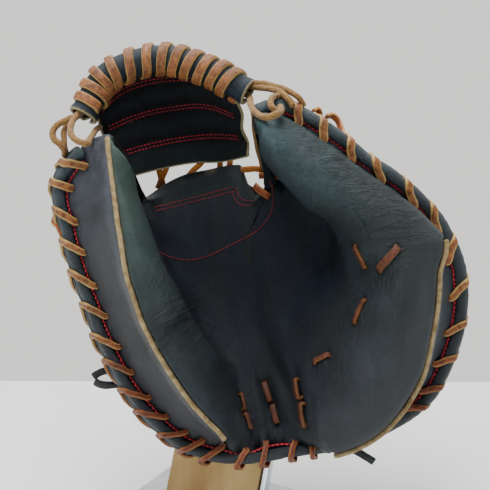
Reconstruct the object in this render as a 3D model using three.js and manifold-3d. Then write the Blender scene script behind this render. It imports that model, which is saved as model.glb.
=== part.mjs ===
// Left-hand catcher's mitt on a small metal stand, in millimetres, +Z up.
// The viewer stands at -Y and looks at the palm. The mitt is drawn in its own upright frame
// (across = x, depth = y, up = z) and leans back on the stand as one group.
import * as THREE from 'three'
import Module from 'manifold-3d'
import { mergeVertices } from 'three/addons/utils/BufferGeometryUtils.js'

const wasm = await Module()
wasm.setup()

// Driving dimensions
const LEAN = THREE.MathUtils.degToRad(15)
const HEEL_HEIGHT = 70
const MITT_OFFSET = { x: 20, y: -55.3 }
const POCKET = { x: -10.5, z: 134.4, frontY: 42, liningY: 54 }
const VIEW = { x: -3.5, z: 155.4, distance: 700 }
const ROLL_RADIUS = 3.8
const ROLL_SPACING = 8.4
const EDGE_INSET = 8.9
const PANEL_THICK = 1.8
const PANEL_RECESS = 2.7
const PIPING_RADIUS = 1.8
const PIPING_SUNK = 0.35
const TUBE_SIDES = 6
const PIPING_CHANNEL = 3.4
const LACE = { width: 6, thick: 2.4 }
const HOLE_ROOM = 1.4
const BACK_THICK = 2.5
const WEB_THICK = 2.6
const TUBE_RADIUS = 7.6
const HOLE_INSET = 7.5
const CUT_TOLERANCE = 0.02

const COLOURS = {
  navy: 0x151b22,
  slate: 0x47505a,
  piping: 0xa5906a,
  lace: 0xa2653f,
  roundLace: 0xaf8f55,
  amber: 0xc87a1e,
  brushed: 0x96784c,
  pale: 0xd4d6d6,
}

// Sections of the palm side by angle round the pocket, anticlockwise from the finger side.
// R is the distance from the pocket's axis and Y the depth, smaller towards the viewer.
// skew turns the inner end of a section by some degrees more, bulge swells its side.
const COLUMNS = ['angle', 'rimR', 'rimY', 'pipeR', 'pipeY', 'crestR', 'crestY', 'wallR', 'wallY', 'footR',
  'footY', 'skew', 'bulge']
const SECTIONS = [
  [84.5, 76, 49, 66, 48, 65, 48, 63, 47, 56, 46, 0, 0],
  [86.5, 90, 49, 78, 48, 76, 48, 74, 47, 62, 44.5, 0, 0],
  [103, 89, 49, 78, 48, 76, 48, 74, 47, 62, 44, 0, 0],
  [122, 94, 49, 82, 48, 80, 48, 77, 47, 64, 44, 2, 0],
  [129.8, 99, 49, 88, 48, 86, 48, 84, 47, 70, 44.5, 4.5, 0],
  [131.3, 128.5, -14, 117, -26, 109, -27, 97, -19, 95.5, 46, 4.7, 0],
  [137, 138, -8, 116, -29, 103, -32, 88, -20, 91, 43, 3, 2],
  [143, 144, -2, 104, -34, 91, -38, 77, -22, 80, 40, 1.5, 4],
  [150, 145.5, 0, 92.7, -39, 79, -43, 66, -24, 70, 35.5, 0.5, 5],
  [165, 128.5, 5, 77.8, -46, 65, -50, 52.4, -28, 56, 32, 0, 6],
  [180, 116.5, 10, 69.6, -50, 58, -54, 44.2, -30, 47, 33, 0, 7],
  [195, 110.5, 12, 66.4, -49, 54.5, -53, 39.5, -28, 42, 34, 0, 7],
  [210, 111, 12, 67, -49, 55, -53, 39, -27, 42, 34, 0, 7],
  [225, 116, 12, 74, -44, 60, -48, 41.4, -22, 44, 33, 0, 7],
  [240, 124, 12, 80, -38, 64, -42, 46, -14, 48, 31, 0, 6],
  [255, 132.4, 8, 94, -28, 76, -31, 55, -6, 55, 29, 0, 4],
  [264, 134.5, 5, 113, -15, 94, -18, 68, 4, 60, 27, 0, 1],
  [272, 135, 4, 121, -4, 105, -3, 80, 10, 60, 26, 0, 0],
  [285, 136, 7, 122, 3, 106, 7, 78, 17, 52, 31, 0, 0],
  [294, 142, 14, 134, 2, 112, -6, 84, 10, 54, 29, 0, 1],
  [300, 148.5, 24, 144, -3, 116, -22, 80, -2, 50, 27, 0, 3],
  [315, 162, 30, 152.5, -8, 112, -32, 77, -6, 50, 24, 0, 5],
  [330, 173, 32, 151, -12, 107, -36, 74, -6, 48, 24, 0, 5],
  [345, 172.5, 30, 141, -16, 108, -38, 77, -6, 52, 25, 0, 5],
  [360, 168, 24, 139.8, -18, 109, -38, 80, -8, 60, 26, 0, 5],
  [375, 155, 15, 133, -17, 106, -36, 77, -12, 72, 29, 0, 4],
  [390, 138, 5, 121, -17, 97, -36, 74, -20, 79, 31, 0, 3],
  [405, 126, -2, 110, -23, 87, -40, 67, -24, 73, 33, 0, 2],
  [420, 125, -8, 108, -27, 89, -42, 70, -26, 77, 37, 0, 2],
  [433, 126.5, -12, 112, -29, 95, -42, 77, -28, 83, 41, -0.5, 1],
  [439, 123, -14, 112, -28, 100, -40, 84, -28, 89, 44, -1.5, 0],
  [442.6, 119, -17, 110, -28, 103, -34, 97, -26, 94, 46, -2.5, 0],
].map((row) => Object.fromEntries(COLUMNS.map((name, i) => [name, row[i]])))
const PAD_START = 131.3
const PAD_END = 442.6
const THUMB_PANEL = { from: 134, to: 266.5 }
const FINGER_PANEL = { from: 299.5, to: 368.5 }
const HEEL_GAP = { from: 256, to: 298 }
const BACK_SEAM = 112

// Columns of the palm's mesh: finer at the ends of the pads, where the shape changes fast
const WEB_ANGLES = [84.5, 86.5, 93, 100, 107, 114, 122, 129.8]
const PAD_ANGLES = [131.3, 134, 137, 141, 147, 154, 161, 168, 176, 184, 192, 200, 208, 216, 224, 232, 240,
  248, 255, 261, 266.5, 271, 278, 285, 291, 295, 299.5, 307, 315, 323, 331, 339, 347, 355, 362, 368.5, 373,
  381, 389, 397, 405, 413, 421, 428, 434, 439, 442.6]

const lerp = THREE.MathUtils.lerp
const radians = THREE.MathUtils.degToRad

// Monotone cubic through a named column, so that no value swings past its neighbours
function column(name, turned) {
  const rows = SECTIONS
  const angle = turned > PAD_END + 1 ? turned - 360 : turned
  let i = rows.findIndex((row) => row.angle > angle) - 1
  if (i < 0) i = angle < rows[0].angle ? 0 : rows.length - 2
  const slope = (k) => (rows[k + 1][name] - rows[k][name]) / (rows[k + 1].angle - rows[k].angle)
  const tangent = (k) => {
    if (k === 0 || k === rows.length - 1) return 0
    const before = slope(k - 1)
    const after = slope(k)
    return before * after <= 0 ? 0 : (2 * before * after) / (before + after)
  }
  const span = rows[i + 1].angle - rows[i].angle
  const t = THREE.MathUtils.clamp((angle - rows[i].angle) / span, 0, 1)
  const curve = (2 * t ** 3 - 3 * t ** 2 + 1) * rows[i][name] + (t ** 3 - 2 * t ** 2 + t) * span * tangent(i)
  return curve + (3 * t ** 2 - 2 * t ** 3) * rows[i + 1][name] + (t ** 3 - t ** 2) * span * tangent(i + 1)
}

// A point at a distance and angle round the pocket's axis
function around(angle, R, Y) {
  const a = radians(angle)
  return new THREE.Vector3(POCKET.x + R * Math.cos(a), Y, POCKET.z + R * Math.sin(a))
}

// A point given across and up as the viewer sees it, pushed back along the line of sight
function seen(across, up, depth) {
  const spread = 1 + depth / VIEW.distance
  return new THREE.Vector3(VIEW.x + across * spread, depth, VIEW.z + up * spread)
}

// Control points of one section from the rim to the pocket's centre, as (R, Y)
function controls(angle) {
  const get = (name) => column(name, angle)
  const edge = new THREE.Vector2(get('rimR') - EDGE_INSET, get('rimY') - 1)
  const pipe = new THREE.Vector2(get('pipeR'), get('pipeY'))
  const along = pipe.clone().sub(edge).normalize()
  const outwards = new THREE.Vector2(along.y, -along.x)
  const side = edge.clone().lerp(pipe, 0.5).addScaledVector(outwards, get('bulge'))
  const foot = new THREE.Vector2(get('footR'), get('footY'))
  const middle = new THREE.Vector2(foot.x * 0.45, lerp(foot.y, POCKET.frontY, 0.8))
  return [edge, side, pipe, new THREE.Vector2(get('crestR'), get('crestY')),
    new THREE.Vector2(get('wallR'), get('wallY')), foot, middle, new THREE.Vector2(0, POCKET.frontY)]
}

// A smooth section: t runs from 0 at the edge through the control points, 2 is the piping
function section(angle) {
  const points = controls(angle)
  const at = (i) => points[Math.max(0, Math.min(points.length - 1, i))]
  return (t) => {
    const i = Math.min(Math.floor(t), points.length - 2)
    const f = t - i
    const [a, b, c, d] = [at(i - 1), at(i), at(i + 1), at(i + 2)]
    const mix = (k) => {
      const m0 = tangentOf(a, b, c, k)
      const m1 = tangentOf(b, c, d, k)
      const start = (2 * f ** 3 - 3 * f ** 2 + 1) * b[k] + (f ** 3 - 2 * f ** 2 + f) * m0
      return start + (3 * f ** 2 - 2 * f ** 3) * c[k] + (f ** 3 - f ** 2) * m1
    }
    return new THREE.Vector2(mix('x'), mix('y'))
  }
}

// Tangent at b, held back where a neighbouring span is short
function tangentOf(a, b, c, k) {
  const before = a.distanceTo(b)
  const after = b.distanceTo(c)
  if (before === 0 || after === 0) return (c[k] - a[k]) * 0.5
  const length = Math.min(Math.min(before, after) * 1.4, (before + after) / 2)
  return ((b[k] - a[k]) / before + (c[k] - b[k]) / after) * 0.5 * length
}

function skewed(angle, t) {
  return angle + column('skew', angle) * Math.min(1, t / 5) ** 2
}

function inPanel(angle) {
  const inside = (panel) => angle > panel.from - 3 && angle < panel.to + 1
  return inside(THUMB_PANEL) || inside(FINGER_PANEL)
}

// A point of the palm side, sunk below the surface by a depth
function front(angle, t, sunk = 0) {
  const curve = section(angle)
  const point = curve(t)
  const step = curve(t + 0.02).sub(curve(Math.max(0, t - 0.02))).normalize()
  return around(skewed(angle, t), point.x + step.y * sunk, point.y - step.x * sunk)
}

// t at a signed distance past the piping, measured along the section
function nearPiping(angle, distance) {
  const curve = section(angle)
  const speed = curve(2.05).distanceTo(curve(1.95)) / 0.1
  return 2 + distance / speed
}

// Corners of the lining behind the palm, and how far it is held forward between them
function liningFrame(angle) {
  return {
    rimR: column('rimR', angle) - EDGE_INSET,
    rimY: column('rimY', angle) + 2.5,
    footR: column('footR', angle) + (inWeb(angle) ? 1 : 5),
    footY: column('footY', angle) + 11,
    stall: inWeb(angle) ? 0 : 7,
  }
}

function inWeb(angle) {
  return angle < PAD_START || angle > PAD_END
}

function liningDepth(angle, R) {
  const { rimR, rimY, footR, footY, stall } = liningFrame(angle)
  if (R < footR) return lerp(footY, POCKET.liningY, Math.sqrt(1 - R / footR))
  const share = THREE.MathUtils.clamp((rimR - R) / (rimR - footR), 0, 1)
  return lerp(rimY, footY, share) - stall * Math.sin(Math.PI * share)
}

function lining(angle, t) {
  const { rimR, footR } = liningFrame(angle)
  const R = t <= 1 ? lerp(rimR, footR, t) : lerp(footR, 0, t - 1)
  return around(skewed(angle, 5 * Math.min(t, 1)), R, liningDepth(angle, R))
}

// Meshes from grids of points
class Mesh3 {
  constructor() {
    this.points = []
    this.faces = []
  }

  add(point) {
    this.points.push(point.x, point.y, point.z)
    return this.points.length / 3 - 1
  }

  quad(a, b, c, d) {
    this.faces.push(a, b, c, a, c, d)
  }

  strip(lower, upper, closed) {
    const last = closed ? lower.length : lower.length - 1
    for (let i = 0; i < last; i++) {
      const j = (i + 1) % lower.length
      this.quad(lower[i], lower[j], upper[j], upper[i])
    }
  }

  fan(ring, centre) {
    ring.forEach((corner, i) => this.faces.push(corner, ring[(i + 1) % ring.length], centre))
  }

  geometry() {
    const geometry = new THREE.BufferGeometry()
    geometry.setAttribute('position', new THREE.Float32BufferAttribute(this.points, 3))
    geometry.setIndex(this.faces)
    return outward(geometry)
  }
}

// Turns every face over when the volume comes out negative
function outward(geometry) {
  const position = geometry.attributes.position
  const index = geometry.index.array
  const corner = (k) => new THREE.Vector3().fromBufferAttribute(position, index[k])
  let volume = 0
  for (let k = 0; k < index.length; k += 3) volume += corner(k).dot(corner(k + 1).cross(corner(k + 2)))
  if (volume < 0) {
    for (let k = 0; k < index.length; k += 3) [index[k], index[k + 1]] = [index[k + 1], index[k]]
  }
  geometry.computeVertexNormals()
  return geometry
}

// Rows of rings, each closed, capped by a fan at both ends or by a quad strip joining them
function tubeOfRings(rings) {
  const mesh = new Mesh3()
  const rows = rings.map((ring) => ring.map((point) => mesh.add(point)))
  for (let i = 0; i + 1 < rows.length; i++) mesh.strip(rows[i], rows[i + 1], true)
  const centreOf = (ring) => {
    return ring.reduce((sum, p) => sum.add(p), new THREE.Vector3()).divideScalar(ring.length)
  }
  mesh.fan([...rows[0]].reverse(), mesh.add(centreOf(rings[0])))
  mesh.fan(rows[rows.length - 1], mesh.add(centreOf(rings[rings.length - 1])))
  return mesh.geometry()
}

// A sheet between two grids of the same size, closed along its four edges
function sheetSolid(top, bottom) {
  const rings = top.map((row, i) => [...row, ...[...bottom[i]].reverse()])
  const mesh = new Mesh3()
  const rows = rings.map((ring) => ring.map((point) => mesh.add(point)))
  for (let i = 0; i + 1 < rows.length; i++) mesh.strip(rows[i], rows[i + 1], true)
  const width = top[0].length
  for (const [row, flip] of [[rows[0], false], [rows[rows.length - 1], true]]) {
    for (let j = 0; j + 1 < width; j++) {
      const corners = [row[j], row[j + 1], row[2 * width - 2 - j], row[2 * width - 1 - j]]
      if (flip) corners.reverse()
      mesh.quad(corners[3], corners[2], corners[1], corners[0])
    }
  }
  return mesh.geometry()
}

function solidOf(geometry) {
  const bare = geometry.clone()
  bare.deleteAttribute('normal')
  bare.deleteAttribute('uv')
  const merged = mergeVertices(bare, 1e-4)
  const vertProperties = new Float32Array(merged.attributes.position.array)
  const triVerts = new Uint32Array(merged.index.array)
  return new wasm.Manifold(new wasm.Mesh({ numProp: 3, vertProperties, triVerts }))
}

function geometryOf(solid) {
  const mesh = solid.getMesh()
  const geometry = new THREE.BufferGeometry()
  geometry.setAttribute('position', new THREE.BufferAttribute(new Float32Array(mesh.vertProperties), 3))
  geometry.setIndex(new THREE.BufferAttribute(new Uint32Array(mesh.triVerts), 1))
  geometry.computeVertexNormals()
  return geometry
}

// Cuts holes, and keeps the largest piece when a cut frees a sliver
function cut(geometry, cutters) {
  let solid = solidOf(geometry)
  for (const cutter of cutters) solid = solid.subtract(solidOf(cutter))
  const pieces = solid.decompose()
  pieces.sort((a, b) => b.volume() - a.volume())
  return geometryOf(pieces[0].setTolerance(CUT_TOLERANCE).simplify(CUT_TOLERANCE))
}

const model = new THREE.Group()
const mitt = new THREE.Group()
mitt.rotation.x = -LEAN
mitt.position.set(MITT_OFFSET.x, MITT_OFFSET.y, HEEL_HEIGHT)
model.add(mitt)

function leather(colour, roughness = 0.6) {
  return new THREE.MeshStandardMaterial({ color: colour, roughness, metalness: 0 })
}

function put(name, geometry, material, group = mitt) {
  const mesh = new THREE.Mesh(geometry, material)
  mesh.name = name
  group.add(mesh)
}

// Places across the side of a pad where the palm's recess and its panel have the same corners
const PANEL_ROWS = [0.06, 0.5, 1, 1.5]

// Palm with both pads
function palmGeometry() {
  const angles = [...WEB_ANGLES, ...PAD_ANGLES]
  const mesh = new Mesh3()
  const recess = (angle) => (inPanel(angle) ? PANEL_RECESS : 0)
  const frontRows = PANEL_ROWS.map((t) => angles.map((a) => front(a, t, recess(a))))
  frontRows.unshift(angles.map((a) => front(a, 0, recess(a))))
  const channel = (distance, sunk) => angles.map((a) => {
    return front(a, nearPiping(a, distance), sunk ? recess(a) : 0)
  })
  frontRows.push(channel(-PIPING_CHANNEL, true), channel(PIPING_CHANNEL, true))
  frontRows.push(channel(PIPING_CHANNEL + 0.5, false))
  for (const t of [2.6, 3, 3.5, 4, 4.5, 5, 6]) frontRows.push(angles.map((a) => front(a, t)))
  const liningRows = [0, 0.33, 0.66, 1, 1.5].map((t) => angles.map((a) => lining(a, t)))
  const rows = [...liningRows.reverse(), ...frontRows].map((row) => row.map((point) => mesh.add(point)))
  for (let i = 0; i + 1 < rows.length; i++) mesh.strip(rows[i], rows[i + 1], true)
  mesh.fan([...rows[0]].reverse(), mesh.add(around(0, 0, POCKET.liningY)))
  mesh.fan(rows[rows.length - 1], mesh.add(around(0, 0, POCKET.frontY)))
  return mesh.geometry()
}

// The mesh's columns between two angles, with both ends
function anglesWithin(from, to) {
  return [from, ...PAD_ANGLES.filter((a) => a > from && a < to), to]
}

// Side panel between the rim and the piping, lying in the palm's recess
function panelGeometry(panel) {
  const angles = anglesWithin(panel.from, panel.to)
  const rows = (sunk) => angles.map((a) => {
    const inner = nearPiping(a, -PIPING_CHANNEL)
    return [...PANEL_ROWS, inner].map((t) => front(a, t, sunk))
  })
  return sheetSolid(rows(0), rows(PANEL_THICK))
}

function pipingGeometry(panel) {
  const centres = anglesWithin(panel.from, panel.to).map((a) => front(a, 2, PIPING_SUNK))
  return roundTube(centres, PIPING_RADIUS, TUBE_SIDES)
}

// A round tube through a list of centres
function roundTube(centres, radius, sides) {
  const rings = centres.map((centre, i) => {
    const ahead = centres[Math.min(i + 1, centres.length - 1)]
    const behind = centres[Math.max(i - 1, 0)]
    const along = ahead.clone().sub(behind).normalize()
    const reference = Math.abs(along.y) > 0.9 ? new THREE.Vector3(1, 0, 0) : new THREE.Vector3(0, 1, 0)
    const across = along.clone().cross(reference).normalize()
    const up = across.clone().cross(along).normalize()
    return Array.from({ length: sides }, (_, k) => {
      const turn = (2 * Math.PI * k) / sides
      const outwards = across.clone().multiplyScalar(Math.cos(turn)).addScaledVector(up, Math.sin(turn))
      return centre.clone().addScaledVector(outwards, radius)
    })
  })
  return tubeOfRings(rings)
}

// A smooth path through hand-chosen points
function smooth(points, perSpan) {
  const curve = new THREE.CatmullRomCurve3(points, false, 'centripetal')
  return curve.getPoints((points.length - 1) * perSpan)
}

function rollGeometry(from, to, side) {
  const centres = anglesWithin(from, to).map((a) => {
    return around(a, column('rimR', a) - ROLL_RADIUS, column('rimY', a) + (side * ROLL_SPACING) / 2)
  })
  return roundTube(centres, ROLL_RADIUS, TUBE_SIDES)
}

// Back of the mitt: a dome from the rim to the window in its middle
const WINDOW = [
  { angle: 84.5, R: 14 }, { angle: 112, R: 12 }, { angle: 140, R: 16 }, { angle: 180, R: 30 },
  { angle: 215, R: 45 }, { angle: 240, R: 62 }, { angle: 256, R: 84 }, { angle: 298, R: 86 },
  { angle: 315, R: 66 }, { angle: 340, R: 46 }, { angle: 370, R: 32 }, { angle: 410, R: 20 },
  { angle: 444.5, R: 14 },
]

function windowRadius(angle) {
  const i = Math.max(0, Math.min(WINDOW.length - 2, WINDOW.findIndex((row) => row.angle > angle) - 1))
  const t = (angle - WINDOW[i].angle) / (WINDOW[i + 1].angle - WINDOW[i].angle)
  return lerp(WINDOW[i].R, WINDOW[i + 1].R, THREE.MathUtils.clamp(t, 0, 1))
}

const BACK_TOP = 94
const BACK_CLEARANCE = 9

function back(angle, s, inner) {
  const shrink = inner ? BACK_THICK : 0
  const edgeR = column('rimR', angle) - EDGE_INSET - shrink
  const edgeY = column('rimY', angle) + 4
  const R = lerp(edgeR, windowRadius(angle), s)
  const rise = (1 - (R / edgeR) ** 2.5) ** 0.7
  const dome = edgeY + (BACK_TOP - shrink - edgeY) * rise
  const behindLining = liningDepth(angle, Math.min(R, edgeR)) + BACK_CLEARANCE * Math.min(1, 8 * s) - shrink
  const share = (edgeR - R) / (edgeR - liningFrame(angle).footR)
  return around(skewed(angle, 5 * THREE.MathUtils.clamp(share, 0, 1)), R, Math.max(dome, behindLining))
}

function backGeometry(angles) {
  const steps = [0, 0.07, 0.2, 0.45, 0.72, 1]
  const grid = (inner) => angles.map((a) => steps.map((s) => back(a, s, inner)))
  return sheetSolid(grid(false), grid(true))
}

// A flat strap along a path: each station has a centre and a side, the direction of its width
function strap(stations, width, thick) {
  const rings = stations.map(({ centre, side }, i) => {
    const ahead = stations[Math.min(i + 1, stations.length - 1)].centre
    const behind = stations[Math.max(i - 1, 0)].centre
    const along = ahead.clone().sub(behind).normalize()
    const across = side.clone().addScaledVector(along, -side.dot(along)).normalize()
    const up = across.clone().cross(along).multiplyScalar(thick / 2)
    across.multiplyScalar(width / 2)
    return [[1, 1], [-1, 1], [-1, -1], [1, -1]].map(([a, b]) => {
      return centre.clone().addScaledVector(across, a).addScaledVector(up, b)
    })
  })
  return tubeOfRings(rings)
}

// The lace wound round the two rolls: through a hole in front, over the rim and back in behind
const RIM_WRAPS = {
  thumb: [
    { hole: 144, outer: 147 }, { hole: 152, outer: 153 }, { hole: 161.5, outer: 160 },
    { hole: 171.5, outer: 169 }, { hole: 184.5, outer: 179 }, { hole: 197.7, outer: 191 },
    { hole: 211.7, outer: 203 },
    { hole: 223.3, outer: 213.4 }, { hole: 234.9, outer: 225 }, { hole: 244.1, outer: 234 },
    { hole: 252.4, outer: 244.5 },
  ],
  heel: [
    { hole: 265.7, outer: 259.5 }, { hole: 273.8, outer: 270.5 }, { hole: 280.5, outer: 278 },
    { hole: 289.5, outer: 286.3 },
  ],
  fingers: [
    { hole: 321.1, outer: 325.6 }, { hole: 327.6, outer: 331.8 }, { hole: 335.8, outer: 339.8 },
    { hole: 344.3, outer: 348.5 }, { hole: 353.8, outer: 358.8 }, { hole: 363.4, outer: 370 },
    { hole: 371, outer: 380.4 }, { hole: 381, outer: 389.3 }, { hole: 392.8, outer: 400.6 },
    { hole: 404.5, outer: 410.2 }, { hole: 417, outer: 420.6 }, { hole: 427.3, outer: 430 },
  ],
}

// Where the section has run a given length from its edge
function alongFromEdge(angle, length) {
  const curve = section(angle)
  let t = 0
  let run = 0
  while (run < length && t < 3) {
    run += curve(t + 0.02).distanceTo(curve(t))
    t += 0.02
  }
  return t
}

// A point held above the palm side along its true normal
function lift(angle, t, height) {
  const inwards = front(angle, t + 0.05).sub(front(angle, t - 0.05))
  const round = front(angle + 1, t).sub(front(angle - 1, t))
  const normal = inwards.cross(round).normalize()
  if (normal.dot(front(angle, t, -1).sub(front(angle, t))) < 0) normal.negate()
  return front(angle, t).addScaledVector(normal, height)
}

// A point held above the back along its normal
function liftBack(angle, s, height) {
  const outwards = back(angle, s - 0.04, false).sub(back(angle, s + 0.04, false))
  const round = back(angle + 1, s, false).sub(back(angle - 1, s, false))
  const normal = outwards.cross(round).normalize()
  if (normal.y < 0) normal.negate()
  return back(angle, s, false).addScaledVector(normal, height)
}

// Stations of one lace: its width lies along the rim
const OVER_ROLL = ROLL_RADIUS + LACE.thick / 2 + 1.8
const BACK_HOLE = 0.11

function rimDirection(angle) {
  return around(angle + 1, column('rimR', angle + 1), column('rimY', angle + 1))
    .sub(around(angle - 1, column('rimR', angle - 1), column('rimY', angle - 1))).normalize()
}

function rimLaceStations(wraps, open) {
  const stations = []
  const rim = (angle) => ({ R: column('rimR', angle) - ROLL_RADIUS, Y: column('rimY', angle) })
  const add = (angle, centre) => stations.push({ centre, side: rimDirection(angle) })
  const over = (angle, side, degrees) => {
    const turn = radians(degrees)
    const R = rim(angle).R + OVER_ROLL * Math.cos(turn)
    add(angle, around(angle, R, rim(angle).Y + side * (ROLL_SPACING / 2 + OVER_ROLL * Math.sin(turn))))
  }
  const inFront = (angle) => lift(angle, alongFromEdge(angle, HOLE_INSET), 1.9)
  const behind = (angle) => {
    if (!open) return liftBack(angle, BACK_HOLE, angle > 432 ? 4 : 2.6)
    const R = column('rimR', angle) - 18
    return around(angle, R, liningDepth(angle, R) + 5)
  }
  add(wraps[0].hole, behind(wraps[0].hole).lerp(inFront(wraps[0].hole), 0.4))
  wraps.forEach(({ hole, outer }, i) => {
    const next = wraps[i + 1] ?? { hole: 2 * hole - wraps[i - 1].hole }
    add(hole, inFront(hole))
    over(lerp(hole, outer, 0.4), -1, 100)
    over(lerp(hole, outer, 0.75), -1, 45)
    over(outer, -1, 0)
    if (open) {
      const turned = lerp(outer, next.hole, 0.3)
      add(turned, around(turned, rim(turned).R + 4, rim(turned).Y + 3))
      add(turned, around(turned, rim(turned).R - 5, rim(turned).Y + 9))
    } else {
      over(outer, 1, 0)
      over(lerp(outer, next.hole, 0.25), 1, 45)
      over(lerp(outer, next.hole, 0.6), 1, 100)
    }
    add(next.hole, behind(next.hole))
  })
  if (open) return stations
  const last = stations[stations.length - 1].centre
  const final = 2 * wraps[wraps.length - 1].hole - wraps[wraps.length - 2].hole
  add(final, last.clone().lerp(inFront(final), 0.5))
  return stations
}

// A straight hole for a lace, a little wider than the lace and longer than the way through
function holeCutter(start, end, side) {
  const run = end.clone().sub(start).normalize()
  const stations = [start.clone().addScaledVector(run, -2), end.clone().addScaledVector(run, 2)]
  return strap(stations.map((centre) => ({ centre, side })), LACE.width + HOLE_ROOM, LACE.thick + HOLE_ROOM)
}

const rimLaces = Object.entries(RIM_WRAPS).map(([name, wraps]) => {
  const open = name === 'heel'
  const stations = rimLaceStations(wraps, open)
  const perWrap = (stations.length - (open ? 1 : 2)) / wraps.length
  const holes = wraps.map(({ hole }, i) => {
    return holeCutter(stations[i * perWrap].centre, stations[i * perWrap + 1].centre, rimDirection(hole))
  })
  const final = stations.length - 1
  if (!open) holes.push(holeCutter(stations[final].centre, stations[final - 1].centre, stations[final].side))
  return { name: `rim_lace_${name}`, geometry: strap(stations, LACE.width, LACE.thick), holes }
})

// Short lace stitches in the palm, from one hole to the next, as angle and distance seen
const PALM_STITCHES = [
  { from: { angle: 272.9, R: 83.4 }, to: { angle: 274.2, R: 94.2 } },
  { from: { angle: 274.6, R: 97.6 }, to: { angle: 276, R: 110.5 } },
  { from: { angle: 284.9, R: 78.9 }, to: { angle: 285.4, R: 91.6 } },
  { from: { angle: 285.9, R: 95.2 }, to: { angle: 285.7, R: 113 } },
  { from: { angle: 300, R: 84.1 }, to: { angle: 297.3, R: 97.2 } },
  { from: { angle: 297.1, R: 100.8 }, to: { angle: 294.4, R: 117.5 } },
  { from: { angle: 312.6, R: 82.7 }, to: { angle: 320, R: 85.9 } },
  { from: { angle: 349.5, R: 91.9 }, to: { angle: 338.6, R: 90.2 } },
  { from: { angle: 374, R: 86.6 }, to: { angle: 363.5, R: 91.9 } },
  { from: { angle: 362.4, R: 100.9 }, to: { angle: 370.3, R: 116.4 } },
]

// The section's point nearest the viewer that is seen at a distance from the pocket's axis
function seenAt(angle, R) {
  const curve = section(angle)
  let t = 2.2
  while (t < 6.8) {
    const point = curve(t)
    if (t > 2.9 || R > point.x) {
      if ((point.x * VIEW.distance) / (VIEW.distance + point.y) <= R) return t
    }
    t += 0.02
  }
  return t
}

function palmStitch({ from, to }) {
  const spot = (f) => {
    const angle = lerp(from.angle, to.angle, f)
    return { angle, t: seenAt(angle, lerp(from.R, to.R, f)) }
  }
  const held = (f, height) => {
    const { angle, t } = spot(f)
    return lift(angle, t, height)
  }
  const centres = [held(0.02, -4), held(0, 2.3), held(0.2, 3), held(0.5, 3.2), held(0.8, 3), held(1, 2.3),
    held(0.98, -4)]
  const outwards = centres[3].clone().sub(held(0.5, 0))
  const side = centres[5].clone().sub(centres[1]).cross(outwards).normalize()
  return {
    geometry: strap(centres.map((centre) => ({ centre, side })), LACE.width, LACE.thick),
    holes: [holeCutter(centres[0], centres[1], side), holeCutter(centres[6], centres[5], side)],
  }
}

const stitches = PALM_STITCHES.map((stitch, i) => ({ name: `palm_lace_${i + 1}`, ...palmStitch(stitch) }))

// The web hangs from its laced tube. Each line runs from the thumb to the fingers,
// as [across, up, depth] in the viewer's sight
const WEB_LINES = {
  tube: [[-113, 91, 2], [-98, 117, 9], [-59.5, 130.5, 14], [-26.6, 122.5, 10], [2, 107, 3]],
  row1: [[-104, 90, 11], [-89, 105.5, 20], [-66, 114.5, 27], [-34, 115.5, 23], [-5, 103, 12]],
  row2: [[-95, 81, 17], [-74.9, 90.3, 30], [-53.9, 95.2, 38], [-28, 97.3, 34], [-2.5, 88.5, 20]],
  row3: [[-84, 66, 26], [-65.1, 70, 40], [-45.5, 73.9, 46], [-23.1, 76.3, 44], [0, 74.9, 32]],
  bottom: [[-75, 56, 30], [-57.4, 54.5, 46], [-38.5, 58, 50], [-17.5, 59, 49], [3, 63, 35]],
}
const WEB_COLUMNS = 14
const CURL_TURNS = [322, 286, 250, 214, 178, 142, 106, 70, 34, 0]
const HANG_STEPS = 9

function webLine(name) {
  const points = WEB_LINES[name].map((p) => new THREE.Vector3(...p))
  const curve = new THREE.CatmullRomCurve3(points, false, 'centripetal')
  return (u) => {
    const point = curve.getPoint(u)
    return seen(point.x, point.y, point.z)
  }
}

const webLines = Object.keys(WEB_LINES).map(webLine)

// Directions round the tube at u: along it, away from the viewer, and up across it
function tubeFrame(u) {
  const [tube] = webLines
  const along = tube(Math.min(1, u + 0.02)).sub(tube(Math.max(0, u - 0.02))).normalize()
  const away = new THREE.Vector3(0, 1, 0)
  away.addScaledVector(along, -away.dot(along)).normalize()
  return { centre: tube(u), along, away, up: along.clone().cross(away).normalize() }
}

// A point round the tube's axis, by degrees from its far side; drop stretches the lower half
function roundTheTube(u, degrees, radius, drop = 1) {
  const { centre, away, up } = tubeFrame(u)
  const turn = radians(degrees)
  const height = Math.sin(turn) * radius
  const held = height < 0 ? height * drop : height
  return centre.clone().addScaledVector(away, Math.cos(turn) * radius).addScaledVector(up, held)
}

// Middle surface of the web at u: the curled tube first, then down the panel
function webColumn(u) {
  const curl = CURL_TURNS.map((degrees) => roundTheTube(u, degrees, TUBE_RADIUS))
  const rows = webLines.slice(1).map((line) => line(u))
  const hang = new THREE.CatmullRomCurve3([curl[curl.length - 1], ...rows])
  return [...curl, ...hang.getPoints(HANG_STEPS).slice(1)]
}

// A sheet of even thickness about a grid of points
function thickSheet(grid, thick) {
  const normal = (i, j) => {
    const a = grid[Math.min(i + 1, grid.length - 1)][j].clone().sub(grid[Math.max(i - 1, 0)][j])
    const b = grid[i][Math.min(j + 1, grid[i].length - 1)].clone().sub(grid[i][Math.max(j - 1, 0)])
    return a.cross(b).normalize()
  }
  const shifted = (distance) => grid.map((row, i) => {
    return row.map((point, j) => point.clone().addScaledVector(normal(i, j), distance))
  })
  return sheetSolid(shifted(thick / 2), shifted(-thick / 2))
}

function webGeometry() {
  const grid = Array.from({ length: WEB_COLUMNS + 1 }, (_, k) => webColumn(k / WEB_COLUMNS))
  return thickSheet(grid, WEB_THICK)
}

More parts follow.
